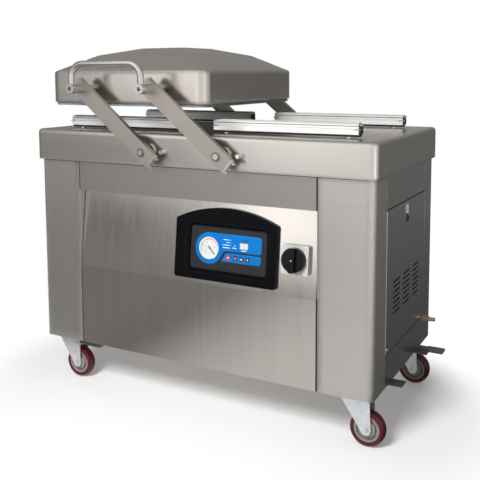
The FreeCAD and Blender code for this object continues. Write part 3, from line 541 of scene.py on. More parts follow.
shoulder_r = WHEEL_R - CROWN - SHOULDER
tyre_outline = [(RIM_R, WHEEL_HALF - RIM_EDGE), (RIM_R + RIM_EDGE, WHEEL_HALF)]
tyre_outline += [(shoulder_r + y, WHEEL_HALF - SHOULDER + x) for x, y in arc(0, 0, SHOULDER, 0, 90, 8)]
tyre_outline += [(WHEEL_R - 0.3, 4.0)]
tyre_outline += [(r, -h) for r, h in reversed(tyre_outline)]
hub_side = [(RIM_R - 0.1, 12.6), (RIM_R - 1.2, 13.6), (30.0, 13.6), (29.0, 12.6), (28.2, 6.5), (24.5, 6.0),
            (23.6, 12.0), (22.6, 13.0), (15.5, 13.4), (14.5, 14.2), (14.0, 17.0), (13.2, 17.6), (BORE, 17.6)]
hub_outline = hub_side + [(r, -h) for r, h in reversed(hub_side)]
for corner in CORNERS:
    node = corner + "_wheel"
    tyre = turned(tyre_outline, middle_of(node), ACROSS_BED, steps=96)
    piece(corner + "_tyre", tyre, "tyre_maroon", corner + "_roller", [node])
    hub = turned(hub_outline, middle_of(node), ACROSS_BED, steps=72)
    piece(corner + "_hub", hub, "hub_grey", corner + "_roller", [node])

# %% [markdown]
# ## Seal bars
# A seal bar is a drawn aluminium rail with two grooves each side. A heating band under pale tape runs along
# its top, and a pin at each end locks it. A plain box with bump lines would look flat at the ends, so the
# rail is drawn along X from its true outline. A grey line laid in each upper groove paints the groove's
# shade, and a black strip under the rail paints the shadow between the bar and the bed.

# %% Seal bar outlines
BAR_HALF = 16.0
BAR_HIGH = 29.0
FOOT_EDGE = 1.5
TOP_EDGE = 2.2
GROOVES = (15.5, 23.2)
GROOVE_DEEP = 2.8
GROOVE_HALF = 1.2
GROOVE_TAPER = 0.5
BAND_HALF = 6.0
BAND_ROUND = 1.6
BAND_LIFT = 1.2
TAPE_HALF = 13.0
TAPE_THICK = 0.4
LINE_HALF = 0.7

rail_side = [(BAR_HALF - FOOT_EDGE, 0), (BAR_HALF, FOOT_EDGE)]
groove_in = BAR_HALF - GROOVE_DEEP
for z in GROOVES:
    rail_side += [(BAR_HALF, z - GROOVE_HALF), (groove_in, z - GROOVE_HALF + GROOVE_TAPER),
                  (groove_in, z + GROOVE_HALF - GROOVE_TAPER), (BAR_HALF, z + GROOVE_HALF)]
rail_side += [(BAR_HALF, BAR_HIGH - TOP_EDGE), (BAR_HALF - TOP_EDGE, BAR_HIGH)]
rail_outline = rail_side + [(-a, b) for a, b in reversed(rail_side)]
band_x = BAND_HALF - BAND_ROUND
band_z = BAR_HIGH + BAND_LIFT
tape_edge = TAPE_HALF - 0.3
band_outline = [(-TAPE_HALF, BAR_HIGH), (TAPE_HALF, BAR_HIGH), (tape_edge, BAR_HIGH + TAPE_THICK)]
band_outline += arc(band_x, band_z, BAND_ROUND, 0, 90, 5) + arc(-band_x, band_z, BAND_ROUND, 90, 180, 5)
band_outline += [(-tape_edge, BAR_HIGH + TAPE_THICK)]
# A black strip under the rail paints the shadow between the bar and the bed.
foot_shade_outline = [(-11, -5), (11, -5), (11, 0.2), (-11, 0.2)]
# A grey strip in the upper groove on each side paints the groove's shade.
line_low = GROOVES[-1] - LINE_HALF
line_high = GROOVES[-1] + LINE_HALF
line_in = groove_in - 0.2
line_out = BAR_HALF - 0.6
groove_shade_lines = [[(side * line_in, line_low), (side * line_out, line_low), (side * line_out, line_high),
                 (side * line_in, line_high)] for side in (-1, 1)]
print("rail outline has", len(rail_outline), "points")

# %% Seal bars
PIN_LONG = 7.0
END_PLATE = 3.0
CLAMP_R = 3.2
CLAMP_LONG = 15.0
CLAMP_OUT = 3.4
HOOK_R = 1.3
HOOK_LONG = 20.0
HOOK_IN = 14.0
HOOK_CLEAR = 1.0
ALONG = Vector((1, 0, 0))
UPWARDS = Vector((0, 0, 1))
BAR_PARTS = (("_rail", [rail_outline], "bar_aluminium", "bar_aluminium"),
             ("_heating_band", [band_outline], "band_tan", "pad_rubber"),
             ("_bar_foot_shade", [foot_shade_outline], "painted_shade_black", "black_plastic"),
             ("_bar_groove_shade", groove_shade_lines, "washer_and_groove_shade_grey", "steel_shaft"))
pin_outline = [(0, 0), (2.2, 0), (2.2, 2.5), (3.5, 3.0), (3.5, 6.2), (2.9, PIN_LONG), (0, PIN_LONG)]
end_outline = [(-12, 1), (12, 1), (13, 2), (13, 19), (9, 25.5), (-9, 25.5), (-13, 19), (-13, 2)]


def rod_outline(r, length):
    return [(0, 0), (r * 0.8, 0), (r, r * 0.2), (r, length - r * 0.2), (r * 0.8, length), (0, length)]


for corner in CORNERS:
    node = corner + "_seal_bar"
    body = corner + "_bar"
    low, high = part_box(node)
    start = Vector((low.x + PIN_LONG * MM, (low.y + high.y) / 2, low.z))
    length = ALONG * (high.x - low.x - 2 * PIN_LONG * MM)
    lift = UPWARDS * (BAR_HIGH / 2 * MM)
    for ending, outlines, look, slot in BAR_PARTS:
        lengths = [drawn(outline, start, length, ACROSS_BED, UPWARDS) for outline in outlines]
        piece(corner + ending, lengths, look, body, [node])
    plates = []
    hooks = []
    for end, way in ((start, -ALONG), (start + length, ALONG)):
        plates.append(drawn(end_outline, end, way * (END_PLATE * MM), ACROSS_BED, UPWARDS))
        plates.append(turned(pin_outline, end + lift, way, steps=24))
        clamp = end + way * (CLAMP_OUT * MM) + UPWARDS * ((BAR_HIGH - CLAMP_R) * MM)
        clamp -= ACROSS_BED * (CLAMP_LONG / 2 * MM)
        hooks.append(turned(rod_outline(CLAMP_R, CLAMP_LONG), clamp, ACROSS_BED, steps=20))
        hook = end - way * (HOOK_IN * MM) + lift - ACROSS_BED * ((BAR_HALF + HOOK_CLEAR) * MM)
        hooks.append(turned(rod_outline(HOOK_R, HOOK_LONG), hook, way, steps=12))
    piece(corner + "_bar_ends", plates, "black_steel", body, [node])
    piece(corner + "_bar_clamps", hooks, "fixing_steel", body, [node])

# %% [markdown]
# ## Stop bolts
# Two bolts with lock nuts stand out of the bed beside the arms' lower ends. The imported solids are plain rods,
# so each is built from a shank, a nut, a washer and a hexagon head.

# %% Stop bolts
BOLT_CORNER_R = 6.4
BOLT_IN = 6.5
SHANK_R = 4.0
WASHER_THICK = 1.4
NUT_DEEP = 5.0
HEAD_DEEP = 5.5
HEAD_OVERLAP = 0.5
OUTWARDS = -ACROSS_BED
low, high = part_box("stop_bolts")
bolt_reach = (high.y - low.y) / MM
head_foot = bolt_reach - HEAD_DEEP
shank_end = head_foot + HEAD_OVERLAP
nut_top = WASHER_THICK + NUT_DEEP
shank = [(0, 0), (SHANK_R, 0), (SHANK_R, shank_end), (0, shank_end)]
washer = [(SHANK_R, 0), (BOLT_CORNER_R, 0), (BOLT_CORNER_R, WASHER_THICK), (SHANK_R, WASHER_THICK)]


def hexagon_block(centre, axis, first, last, r):
    side = axis.orthogonal().normalized()
    hexagon = arc(0, 0, r, 0, 300, 5)
    return drawn(hexagon, centre + axis * (first * MM), axis * ((last - first) * MM), side, axis.cross(side))


bolt_parts = []
for x in (low.x + BOLT_IN * MM, high.x - BOLT_IN * MM):
    foot = Vector((x, high.y, (low.z + high.z) / 2))
    bolt_parts += [turned(shank, foot, OUTWARDS, steps=24), turned(washer, foot, OUTWARDS, steps=32)]
    bolt_parts.append(hexagon_block(foot, OUTWARDS, WASHER_THICK, nut_top, BOLT_CORNER_R))
    bolt_parts.append(hexagon_block(foot, OUTWARDS, head_foot, bolt_reach, BOLT_CORNER_R))
piece("stop_bolt_set", bolt_parts, "bright_steel_and_edge_highlight", "root", ["stop_bolts"])

# %% [markdown]
# ## Handle
# The lid is pulled by a bent tube between two turned bosses, which screw on to the upper pivots. A bevelled
# curve would give the tube too. A ring of points set down at each step of the bent line is as short, and
# gives closed ends. The bosses are turned, each with a dark socket screw.

# %% Handle tube
TUBE_R = 9.6
TUBE_STEPS = 24
BOSS_R = 15.0
BOSS_LONG = 23.0
TUBE_BEND = 40.0
TUBE_DROP = 3.0
low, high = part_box("handle")
left_x = low.x + BOSS_R * MM
right_x = high.x - BOSS_R * MM
tube_y = low.y + BOSS_LONG / 2 * MM
boss_z = low.z + BOSS_R * MM
tube_top = high.z - (TUBE_DROP + TUBE_R) * MM
bend = TUBE_BEND * MM


def piped(path, r, steps):
    points = []
    for i, spot in enumerate(path):
        ahead = (path[min(i + 1, len(path) - 1)] - path[max(i - 1, 0)]).normalized()
        side = ahead.cross(ACROSS_BED).normalized()
        for k in range(steps):
            angle = 2 * math.pi * k / steps
            points.append(spot + (side * math.cos(angle) + ACROSS_BED * math.sin(angle)) * (r * MM))
    faces = []
    for i in range(len(path) - 1):
        for k in range(steps):
            m = (k + 1) % steps
            faces.append((i * steps + k, i * steps + m, (i + 1) * steps + m, (i + 1) * steps + k))
    last = (len(path) - 1) * steps
    faces += [tuple(range(steps)), tuple(range(last, last + steps))]
    return solid(points, faces)


turns = [(bend * (1 - math.cos(a)), bend * (1 - math.sin(a))) for a in map(math.radians, range(0, 91, 9))]
path = [Vector((left_x, tube_y, boss_z))]
path += [Vector((left_x + flat, tube_y, tube_top - rise)) for flat, rise in turns]
path += [Vector((right_x - rise, tube_y, tube_top - flat)) for flat, rise in turns]
path.append(Vector((right_x, tube_y, boss_z)))
piece("handle_tube", piped(path, TUBE_R, TUBE_STEPS), "tube_steel", "lid", ["handle"])

# %% Handle bosses
boss_outline = [(9.4, 0), (14, 0), (14, 19.5), (11.5, 20), (11.5, 23.4), (14.2, 24), (BOSS_R, 25),
                (BOSS_R, 45.8), (14.2, 47), (6.2, 47), (5.6, 46.4), (4.7, 41), (0, 41), (0, 25), (9.4, 25)]
socket_outline = [(0, 41.2), (4.5, 41.2), (4.5, 44.6), (4.0, 45.2), (2.4, 45.2), (2.2, 43), (0, 43)]
feet = [Vector((x, high.y, boss_z)) for x in (left_x, right_x)]
bosses = [turned(boss_outline, foot, OUTWARDS, steps=48) for foot in feet]
sockets = [turned(socket_outline, foot, OUTWARDS, steps=24) for foot in feet]
piece("handle_bosses", bosses, "tube_steel", "lid", ["handle"])
piece("handle_screws", sockets, "black_steel", "lid", ["handle"])

# %% [markdown]
# ## Pivot washers
# A dark washer shows round each lower pivot bolt of the arms. A painted ring could do at a distance. A turned
# ring on the plain washer's face also catches the light at its edge.

# %% Pivot washers
BOLT_HEAD_H = 5.5
ring_outline = [(8.2, -0.2), (13.7, -0.2), (13.7, 0.3), (13.3, 0.5), (8.6, 0.5), (8.2, 0.3)]
for side in ("left", "right"):
    low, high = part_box(side + "_arm_fixings")
    pivot = middle_of(side + "_shaft")
    ends = ((low.y + BOLT_HEAD_H * MM, OUTWARDS), (high.y - BOLT_HEAD_H * MM, -OUTWARDS))
    rings = [turned(ring_outline, Vector((pivot.x, y, pivot.z)), way, steps=40) for y, way in ends]
    piece(side + "_pivot_washers", rings, "washer_and_groove_shade_grey", side + "_arms")

# %% [markdown]
# ## The control panel's own frame
# The controls sit on the leaning part of the front. The gauge's joint gives its middle and the direction
# straight out of the panel, so a flat drawing can be set there: x to the right, y up the slope, z outwards.
# Films and prints are stamped: a flat curve is filled with its holes and given a little thickness.

# %% Panel frame
GAUGE_MIDDLE = Vector(JOINTS["gauge_read"]["pos_m"])
OUT = Vector(JOINTS["gauge_read"]["axis"]).normalized()
UP_SLOPE = OUT.cross(ALONG)
PANEL = Matrix.Translation(GAUGE_MIDDLE) @ Matrix((ALONG, UP_SLOPE, OUT)).transposed().to_4x4()
PLATE_FACE = -6.0


def on_panel(curve, x, y, z):
    holder = bpy.data.objects.new("outline", curve)
    mesh = bpy.data.meshes.new_from_object(holder)
    bpy.data.objects.remove(holder)
    mesh.transform(PANEL @ Matrix.Translation((x * MM, y * MM, z * MM)))
    return smooth(mesh)


def stamped(loops, face, thick, edge=0.1):
    curve = bpy.data.curves.new("outline", "CURVE")
    curve.dimensions = "2D"
    curve.fill_mode = "BOTH"
    curve.extrude = (thick / 2 - edge) * MM
    curve.bevel_depth = edge * MM
    curve.bevel_resolution = 1
    curve.offset = -edge * MM
    for loop in loops:
        spline = curve.splines.new("POLY")
        spline.points.add(len(loop) - 1)
        for point, (x, y) in zip(spline.points, loop):
            point.co = (x * MM, y * MM, 0, 1)
        spline.use_cyclic_u = True
    return on_panel(curve, 0, 0, face + thick / 2)


print("panel leans", round(math.degrees(math.asin(OUT.z)), 2), "degrees")

# %% [markdown]
# ## Printed overlay
# A bright blue film covers the plate round the gauge. A dark line divides the key strip from the rest and
# swings round the gauge in an S. Both films are stamped with holes for the gauge and the keys.

# %% Overlay
GAUGE_R = 31.4
HOLE_CLEAR = 0.6
RING_R = 44.5
FILM = 0.4
FILM_RIGHT = 167.0
STRIP_LOW = -33.0
KEY_Y = -20.6
KEY_X = (64.0, 87.0, 106.0, 125.0)
KEY_HALF = 6.4
KEY_ROUND = 0.8

upper = (arc(0, 0, RING_R, 90, 315, 40) + arc(57.5, -17.4, 14.4, 135, 90, 6)
         + arc(FILM_RIGHT - 8, 5, 8, -90, 0, 6) + arc(FILM_RIGHT - 8, 37, 8, 0, 90, 6))
strip = (arc(62, -20, 12, 135, 90, 6) + arc(FILM_RIGHT - 4, -11, 3, 90, 0, 5)
         + arc(FILM_RIGHT - 9, STRIP_LOW + 8, 8, 0, -90, 6) + [(41, STRIP_LOW)])
gauge_hole = arc(0, 0, GAUGE_R + HOLE_CLEAR, 0, 350, 48)
key_holes = [round_box(x, KEY_Y, KEY_HALF, KEY_HALF, KEY_ROUND) for x in KEY_X]
for name, loops in (("gauge_overlay", [upper, gauge_hole]), ("key_overlay", [strip] + key_holes)):
    piece(name, stamped(loops, PLATE_FACE, FILM), "overlay_blue", "root")

# %% [markdown]
# ## Display and plain marks
# A two-digit display sits in the film, with plain bars and dots printed beside it. Seven-segment digits are
# seven slim hexagons each, placed by a loop.

# %% Display
FACE = PLATE_FACE + FILM
DISPLAY_X = 112.0
DISPLAY_Y = 15.4
WINDOW_HALF_X = 13.0
WINDOW_HALF_Y = 8.5
WINDOW_THICK = 0.3
INK = 0.15
INK_EDGE = 0.04
DIGIT_W = 6.6
DIGIT_H = 11.0
DIGIT_SIDE = 5.6
STROKE = 1.5
STROKE_GAP = 0.4
printed("display_grey", (0.40, 0.40, 0.41), (0.50, 0.50, 0.51), (0.6, 0.6, 0.6), (0.25, 0.35),
        rounding=0.0002)
printed("segment_pale", (0.74, 0.72, 0.72), (0.86, 0.84, 0.84), (0.9, 0.88, 0.88), (0.35, 0.45))


def stroke(x, y, half, upright):
    w = STROKE / 2
    flat = [(-half, 0), (-half + w, -w), (half - w, -w), (half, 0), (half - w, w), (-half + w, w)]
    return [(x + b, y + a) if upright else (x + a, y + b) for a, b in flat]


def digit(x, y):
    half_w = DIGIT_W / 2
    quarter = DIGIT_H / 4
    strokes = [stroke(x, y + k * DIGIT_H / 2, half_w - STROKE_GAP, False) for k in (-1, 0, 1)]
    for side in (-half_w, half_w):
        strokes += [stroke(x + side, y + k * quarter, quarter - STROKE_GAP, True) for k in (-1, 1)]
    return strokes


window = round_box(DISPLAY_X, DISPLAY_Y, WINDOW_HALF_X, WINDOW_HALF_Y, 1.0)
digits = digit(DISPLAY_X - DIGIT_SIDE, DISPLAY_Y) + digit(DISPLAY_X + DIGIT_SIDE, DISPLAY_Y)
piece("display_window", stamped([window], FACE, WINDOW_THICK), "display_grey", "root")
piece("display_digits", stamped(digits, FACE + WINDOW_THICK, INK, INK_EDGE), "segment_pale", "root")

# %% Plain marks
BARS = [(56, 29.0, 10), (61, 21.5, 5), (55, 14.0, 11), (55, 6.5, 11), (83, 8.0, 7), (112, 3.0, 8)]
BAR_THIN = 0.9
BAR_ROUND = 0.4
DOT_X = 70
printed("print_pale", (0.52, 0.66, 0.84), (0.66, 0.78, 0.92), (0.8, 0.86, 0.95), (0.40, 0.50))
marks = [round_box(x, y, half, BAR_THIN, BAR_ROUND) for x, y, half in BARS]
marks += [arc(83, 14.5, 1.5, 0, 340, 17)]
marks += [arc(DOT_X, y, 0.9, 0, 340, 17) for _, y, _ in BARS[:4]]
caption = round_box(113, 30.5, 16, 1.0, BAR_ROUND)
piece("overlay_marks", stamped(marks, FACE, INK, INK_EDGE), "print_pale", "root")
piece("display_caption", stamped([caption], FACE, INK, INK_EDGE), "print_black", "root")

# %% [markdown]
# ## Key signs
# Each key carries a plain sign: bars on the first two, arrows on the others. They ride on the keys, so they
# move in with them.

# %% Key signs
KEY_FACE = PLATE_FACE + 1.8
THIN_INK = 0.12
THIN_EDGE = 0.03
ARROW_R = 3.4
ARROW_DROP = 0.6


def arrow(x, y, towards):
    return arc(x, y, ARROW_R, towards, towards + 240, 2)


signs = {"stop": round_box(KEY_X[0], KEY_Y, 3.6, 1.2, BAR_ROUND),
         "first": round_box(KEY_X[1], KEY_Y, 3.2, 0.9, BAR_ROUND),
         "second": arrow(KEY_X[2], KEY_Y - ARROW_DROP, 90),
         "third": arrow(KEY_X[3] + ARROW_DROP, KEY_Y, 180)}
for key, sign in signs.items():
    piece(key + "_key_sign", stamped([sign], KEY_FACE, THIN_INK, THIN_EDGE), "segment_pale", key + "_key_cap")

# %% [markdown]
# ## Vacuum gauge
# The dial is a white disc with a red, a yellow and a green band, ticks and plain numbers. A picture would do
# from afar. Drawing them as thin stamped pieces keeps them crisp close up.

# %% Dial bands and ticks
BODY_PROUD = 2.0
DIAL_SUNK = 5.0
DIAL_FACE = PLATE_FACE + BODY_PROUD - DIAL_SUNK
BAND_IN = 24.6
BAND_OUT = 27.6
START_ANGLE = 225.0
SPAN = 270.0
DIVISIONS = 10
TICK_OUT = 24.0
DIAL_BANDS = (("red", (0.60, 0.03, 0.04), (0.74, 0.06, 0.06), (0.8, 0.2, 0.2), 122, 15),
              ("yellow", (0.78, 0.50, 0.04), (0.88, 0.60, 0.07), (0.9, 0.7, 0.2), 152, 126),
              ("green", (0.10, 0.42, 0.16), (0.16, 0.52, 0.22), (0.3, 0.6, 0.35), 205, 156))


def sector(inner, outer, first, last, steps):
    return arc(0, 0, outer, first, last, steps) + arc(0, 0, inner, last, first, steps)


def tick(division, inner, width):
    angle = START_ANGLE - SPAN * division / DIVISIONS
    half = math.degrees(width / 2 / TICK_OUT)
    return sector(inner, TICK_OUT, angle - half, angle + half, 1)


for colour, dark, light, edge, first, last in DIAL_BANDS:
    band = stamped([sector(BAND_IN, BAND_OUT, last, first, 24)], DIAL_FACE, THIN_INK, THIN_EDGE)
    printed(colour + "_print", dark, light, edge)
    piece("dial_" + colour + "_band", band, colour + "_print", "root")
ticks = [tick(i, 20.5, 0.8) for i in range(DIVISIONS + 1)]
ticks += [tick(i + 0.5, 22.0, 0.45) for i in range(DIVISIONS)]
piece("dial_ticks", stamped(ticks, DIAL_FACE, 0.1, 0.02), "print_black", "root")

# %% Dial numbers
NUMBER_R = 16.6
NUMBER_HIGH = 5.2
NUMBER_HALF = 0.05
NUMBER_LIFT = 0.06


def numeral(number):
    font = bpy.data.curves.new("numeral", "FONT")
    font.body = str(number)
    font.size = NUMBER_HIGH * MM
    font.align_x = "CENTER"
    font.align_y = "CENTER"
    font.extrude = NUMBER_HALF * MM
    x, y = polar(NUMBER_R, START_ANGLE - SPAN * number / DIVISIONS)
    return on_panel(font, x, y, DIAL_FACE + NUMBER_LIFT)


numerals = [numeral(i) for i in range(0, DIVISIONS + 1, 2)]
piece("dial_numbers", numerals, "print_black", "root")

# %% [markdown]
# ## Gauge lens
# A clear lens covers the dial and the needle. It is a turned disc with a slight dome. A low index of
# refraction keeps the print behind it in place, as a thin pane does.

# %% Gauge lens
LENS_BACK = PLATE_FACE + 0.9
LENS_R = GAUGE_R - 2.2
LENS_GRAIN = 900.0
tree, lens, tone, _ = skinned("lens_clear", (0.95, 0.96, 0.96), (0.99, 0.99, 0.99), moulded,
                              LENS_GRAIN, (0.01, 0.05))
feed(tree, lens["Base Color"], tone)
lens["Transmission Weight"].default_value = 1.0
lens["IOR"].default_value = 1.2
lens_outline = [(0, LENS_BACK), (LENS_R, LENS_BACK), (LENS_R, LENS_BACK + 0.7), (LENS_R - 4, LENS_BACK + 1.0),
                (0, LENS_BACK + 1.1)]
piece("gauge_lens", turned(lens_outline, GAUGE_MIDDLE, OUT, steps=64), "lens_clear", "root")

# %% [markdown]
# ## Knob mark
# A pale dot on the grip shows which way the switch points. It is a small turned button that rides on the
# knob.

# %% Knob mark
GRIP_FACE = 40.3
DOT_R = 1.7
DOT_HALF = 0.3
SWITCH_MIDDLE = Vector(JOINTS["switch_turn"]["pos_m"])
dot_outline = [(0, GRIP_FACE - DOT_HALF), (DOT_R, GRIP_FACE - DOT_HALF), (DOT_R, GRIP_FACE + 0.1),
               (DOT_R - 0.4, GRIP_FACE + DOT_HALF), (0, GRIP_FACE + DOT_HALF)]
piece("knob_dot", turned(dot_outline, SWITCH_MIDDLE, OUT, steps=24), "segment_pale", "knob")

# %% [markdown]
# ## Small fasteners
# The rear and left sheets are screwed on, the axles end in nuts, and each caster plate has four bolts. An
# array modifier suits even rows. A loop does rows, corners and axle ends alike, and each set is one piece.

# %% Sheet screws
screw_outline = [(0, 0), (4.2, 0), (4.2, 0.8), (3.6, 1.8), (2.4, 2.4), (1.9, 2.5), (1.7, 1.5), (0, 1.5)]
SCREW_IN = 24 * MM
REAR_COLUMNS = 6
LEFT_COLUMNS = 3
rear_low, rear_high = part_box("rear_panel")
left_low, left_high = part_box("left_side_panel")


def spaced(first, last, count):
    return [first + (last - first) * i / (count - 1) for i in range(count)]


screws = []
for x in spaced(rear_low.x + 2 * SCREW_IN, rear_high.x - 2 * SCREW_IN, REAR_COLUMNS):
    for z in (rear_low.z + SCREW_IN, rear_high.z - SCREW_IN):
        screws.append(turned(screw_outline, Vector((x, rear_high.y, z)), ACROSS_BED, steps=20))
for y in spaced(left_low.y + SCREW_IN, left_high.y - SCREW_IN, LEFT_COLUMNS):
    for z in (left_low.z + SCREW_IN, left_high.z - SCREW_IN):
        screws.append(turned(screw_outline, Vector((left_low.x, y, z)), -ALONG, steps=20))
piece("sheet_screws", screws, "bright_steel_and_edge_highlight", "root")

# %% Axle nuts and caster bolts
NUT_FOOT = 25.4
NUT_FACE = 30.0
NUT_CORNER_R = 7.4
PLATE_BOLT_X = 37 * MM
PLATE_BOLT_Y = 32 * MM
PLATE_THICK = 4 * MM
PLATE_HEAD = 3.6
PLATE_HEAD_R = 6.0
axle_end = [(0, 26), (4.2, 26), (4.2, 31), (3.2, 32), (0, 32)]
bolt_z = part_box("base_pan")[0].z - PLATE_THICK
bolts = []
for corner in CORNERS:
    middle = middle_of(corner + "_wheel")
    nuts = []
    for way in (ACROSS_BED, -ACROSS_BED):
        nuts.append(hexagon_block(middle, way, NUT_FOOT, NUT_FACE, NUT_CORNER_R))
        nuts.append(turned(axle_end, middle, way, steps=24))
    piece(corner + "_axle_nuts", nuts, "bright_steel_and_edge_highlight", corner + "_swivel")
    pivot = Vector(JOINTS[corner + "_swivel_turn"]["pos_m"])
    for x in (pivot.x - PLATE_BOLT_X, pivot.x + PLATE_BOLT_X):
        for y in (pivot.y - PLATE_BOLT_Y, pivot.y + PLATE_BOLT_Y):
            bolts.append(hexagon_block(Vector((x, y, bolt_z)), -UPWARDS, 0, PLATE_HEAD, PLATE_HEAD_R))
piece("caster_bolts", bolts, "bright_steel_and_edge_highlight", "root")

# %% [markdown]
# ## Seams
# Folded sheets meet in narrow joints that fall into shade: beside each post, under the bed and round the access
# panel. A dark line in the steel's finish would need its own map, so a thin black strip is drawn along each
# joint as painted shade.

# %% Post seam shade
STRIP_PROUD = 0.5
STRIP_ROOT = 0.3
STRIP_EDGE = 0.2
LEFT_SEAM = 2.4
RIGHT_SEAM = 4.6
KINK_Z = 0.392


def strip_between(first, second, across, out, width):
    half = width / 2
    shoulder = STRIP_PROUD - STRIP_EDGE
    outline = [(-half, -STRIP_ROOT), (half, -STRIP_ROOT), (half, shoulder), (half - STRIP_EDGE, STRIP_PROUD),
               (-half + STRIP_EDGE, STRIP_PROUD), (-half, shoulder)]
    return drawn(outline, first, second - first, across, out)


panel_low, panel_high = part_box("front_panel")
post_low, post_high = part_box("front_right_post")
fascia_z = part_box("front_fascia")[0].z
front_y = post_low.y
kink = Vector((0, front_y, KINK_Z))
lean_top = kink + UP_SLOPE * ((fascia_z - KINK_Z) / UP_SLOPE.z)
strips = []
# Black strips at each side of the front panel, from the floor up to the bed, paint the shade in the narrow gaps
# beside the posts.
for x, wide in ((panel_low.x, LEFT_SEAM), (panel_high.x, RIGHT_SEAM)):
    side = ALONG * x
    foot, fascia_foot, top = [Vector((x, front_y, z)) for z in (post_low.z, fascia_z, post_high.z)]
    strips.append(strip_between(foot, side + kink, ALONG, OUTWARDS, wide))
    strips.append(strip_between(side + kink, side + lean_top, ALONG, OUT, wide))
    strips.append(strip_between(fascia_foot, top, ALONG, OUTWARDS, wide))
piece("post_seam_shade", strips, "painted_shade_black", "root")

# %% Bed edge shade
BED_SHADE_HIGH = 3.2
CORNER_IN = 16 * MM
shade_strip_z = post_high.z - BED_SHADE_HIGH / 2 * MM
side_x = post_high.x
front_ends = [Vector((x, front_y, shade_strip_z)) for x in (-side_x + CORNER_IN, side_x - CORNER_IN)]
side_ends = [Vector((side_x, y, shade_strip_z)) for y in (front_y + CORNER_IN, -front_y - CORNER_IN)]
# Black strips under the bed's front and side edges paint the shadow in the joint below the bed.
bed_shade_strips = [strip_between(*front_ends, UPWARDS, OUTWARDS, BED_SHADE_HIGH),
         strip_between(*side_ends, UPWARDS, ALONG, BED_SHADE_HIGH)]
piece("bed_edge_shade", bed_shade_strips, "painted_shade_black", "root")

# %% [markdown]
# ## Access panel
# The access panel on the right side has black strips above and below that paint the shade in its joints, a
# lighter strip with a screw on its folded front edge that paints the edge's highlight, and a flat black plate
# under its latch that paints the shade of the pull's recess. All of them ride on the panel, so they tilt open
# with it.

# %% Access panel
SEAM = 2.6
EDGE_IN = 4 * MM
EDGE_WIDE = 6.0
DOOR_SCREW_IN = 14 * MM
PULL_DROP = 30 * MM
PULL_HALF = 15.0
PULL_HALF_HIGH = 7.0
door_low, door_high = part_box("access_panel")
door_shade_strips = []
# Black strips along the top and bottom joints paint the shade in the gaps.
for z in (door_low.z + SEAM / 2 * MM, door_high.z - SEAM / 2 * MM):
    ends = [Vector((side_x, y, z)) for y in (door_low.y, door_high.y)]
    door_shade_strips.append(strip_between(*ends, UPWARDS, ALONG, SEAM))
piece("access_seam_shade", door_shade_strips, "painted_shade_black", "access_door")
# The lighter steel strip on the folded front edge paints that edge's highlight.
edge_y = door_low.y + EDGE_IN
edge_ends = [Vector((side_x, edge_y, z)) for z in (door_low.z + EDGE_IN, door_high.z - EDGE_IN)]
door_edge_highlight = strip_between(*edge_ends, ACROSS_BED, ALONG, EDGE_WIDE)
screw_spot = Vector((side_x, door_low.y + DOOR_SCREW_IN, door_low.z + DOOR_SCREW_IN))
door_screw = turned([(0, 0), (4.5, 0), (4.5, 1.0), (3.2, 2.2), (0, 2.4)], screw_spot, ALONG, steps=20)
piece("access_edge_highlight", [door_edge_highlight, door_screw], "bright_steel_and_edge_highlight", "access_door")
# A flat black plate under the latch paints the shade of the pull's recess.
latch = middle_of("panel_latch")
pull = Vector((side_x, latch.y, latch.z - PULL_DROP))
pull_shade_outline = round_box(0, 0, PULL_HALF, PULL_HALF_HIGH, PULL_HALF_HIGH - 0.1)
pull_shade_plate = drawn(pull_shade_outline, pull, ALONG * (STRIP_PROUD * MM), ACROSS_BED, UPWARDS)
piece("access_pull_shade", pull_shade_plate, "painted_shade_black", "access_door")

# %% [markdown]
# ## World
# The photograph is a plain white product shot. A white world would wash the steel out, so the world is white
# only where it is seen, directly, in a mirror or through glass. As a light it is weak.

# %% World
FILL_LIGHT = 0.2
WHITE = (1, 1, 1, 1)


def seen_rays(tree):
    rays = add(tree, "ShaderNodeLightPath").outputs
    seen = rays["Is Camera Ray"]
    for other in (rays["Is Glossy Ray"], rays["Is Transmission Ray"]):
        seen = maths(tree, "MAXIMUM", seen, other)
    return seen


world = bpy.data.worlds.new("studio")
bpy.context.scene.world = world
world.use_nodes = True
sky = world.node_tree
sky.nodes.clear()
fill = add(sky, "ShaderNodeBackground", Color=WHITE, Strength=FILL_LIGHT)
white = add(sky, "ShaderNodeBackground", Color=WHITE, Strength=1.0)
chosen = add(sky, "ShaderNodeMixShader", seen_rays(sky), fill.outputs[0], white.outputs[0])
add(sky, "ShaderNodeOutputWorld", chosen.outputs[0])
print("world made")

# %% [markdown]
# ## Floor
# A pale floor takes the shadow. Lit by the lamps alone it would end in a grey edge, so for the camera and for
# mirrors it fades to white outside an oval round the machine. A stage plane is flat in one direction, which
# is given as one number, and spans the other two.

# %% Floor
FLOOR_SPAN = (-9, 9)
FLOOR_COLOUR = (0.88, 0.88, 0.88, 1.0)
FLOOR_LIFT = 0.15
SHADOW_MIDDLE = (0.02, -0.1, 0.0)
SHADOW_SHAPE = (1 / 0.78, 1 / 0.62, 1.0)
SHADOW_REACH = (0.86, 1.16)


def bare_material(name):
    material = bpy.data.materials.new(name)
    material.use_nodes = True
    material.node_tree.nodes.clear()
    return material, material.node_tree


def stage_plane(name, x, y, z, material):
    xs, ys, zs = [v if isinstance(v, tuple) else (v,) for v in (x, y, z)]
    mesh = bpy.data.meshes.new(name)
    mesh.from_pydata([(a, b, c) for c in zs for b in ys for a in xs], [], [(0, 1, 3, 2)])
    mesh.materials.append(material)
    obj = placed(name, mesh)
    return obj


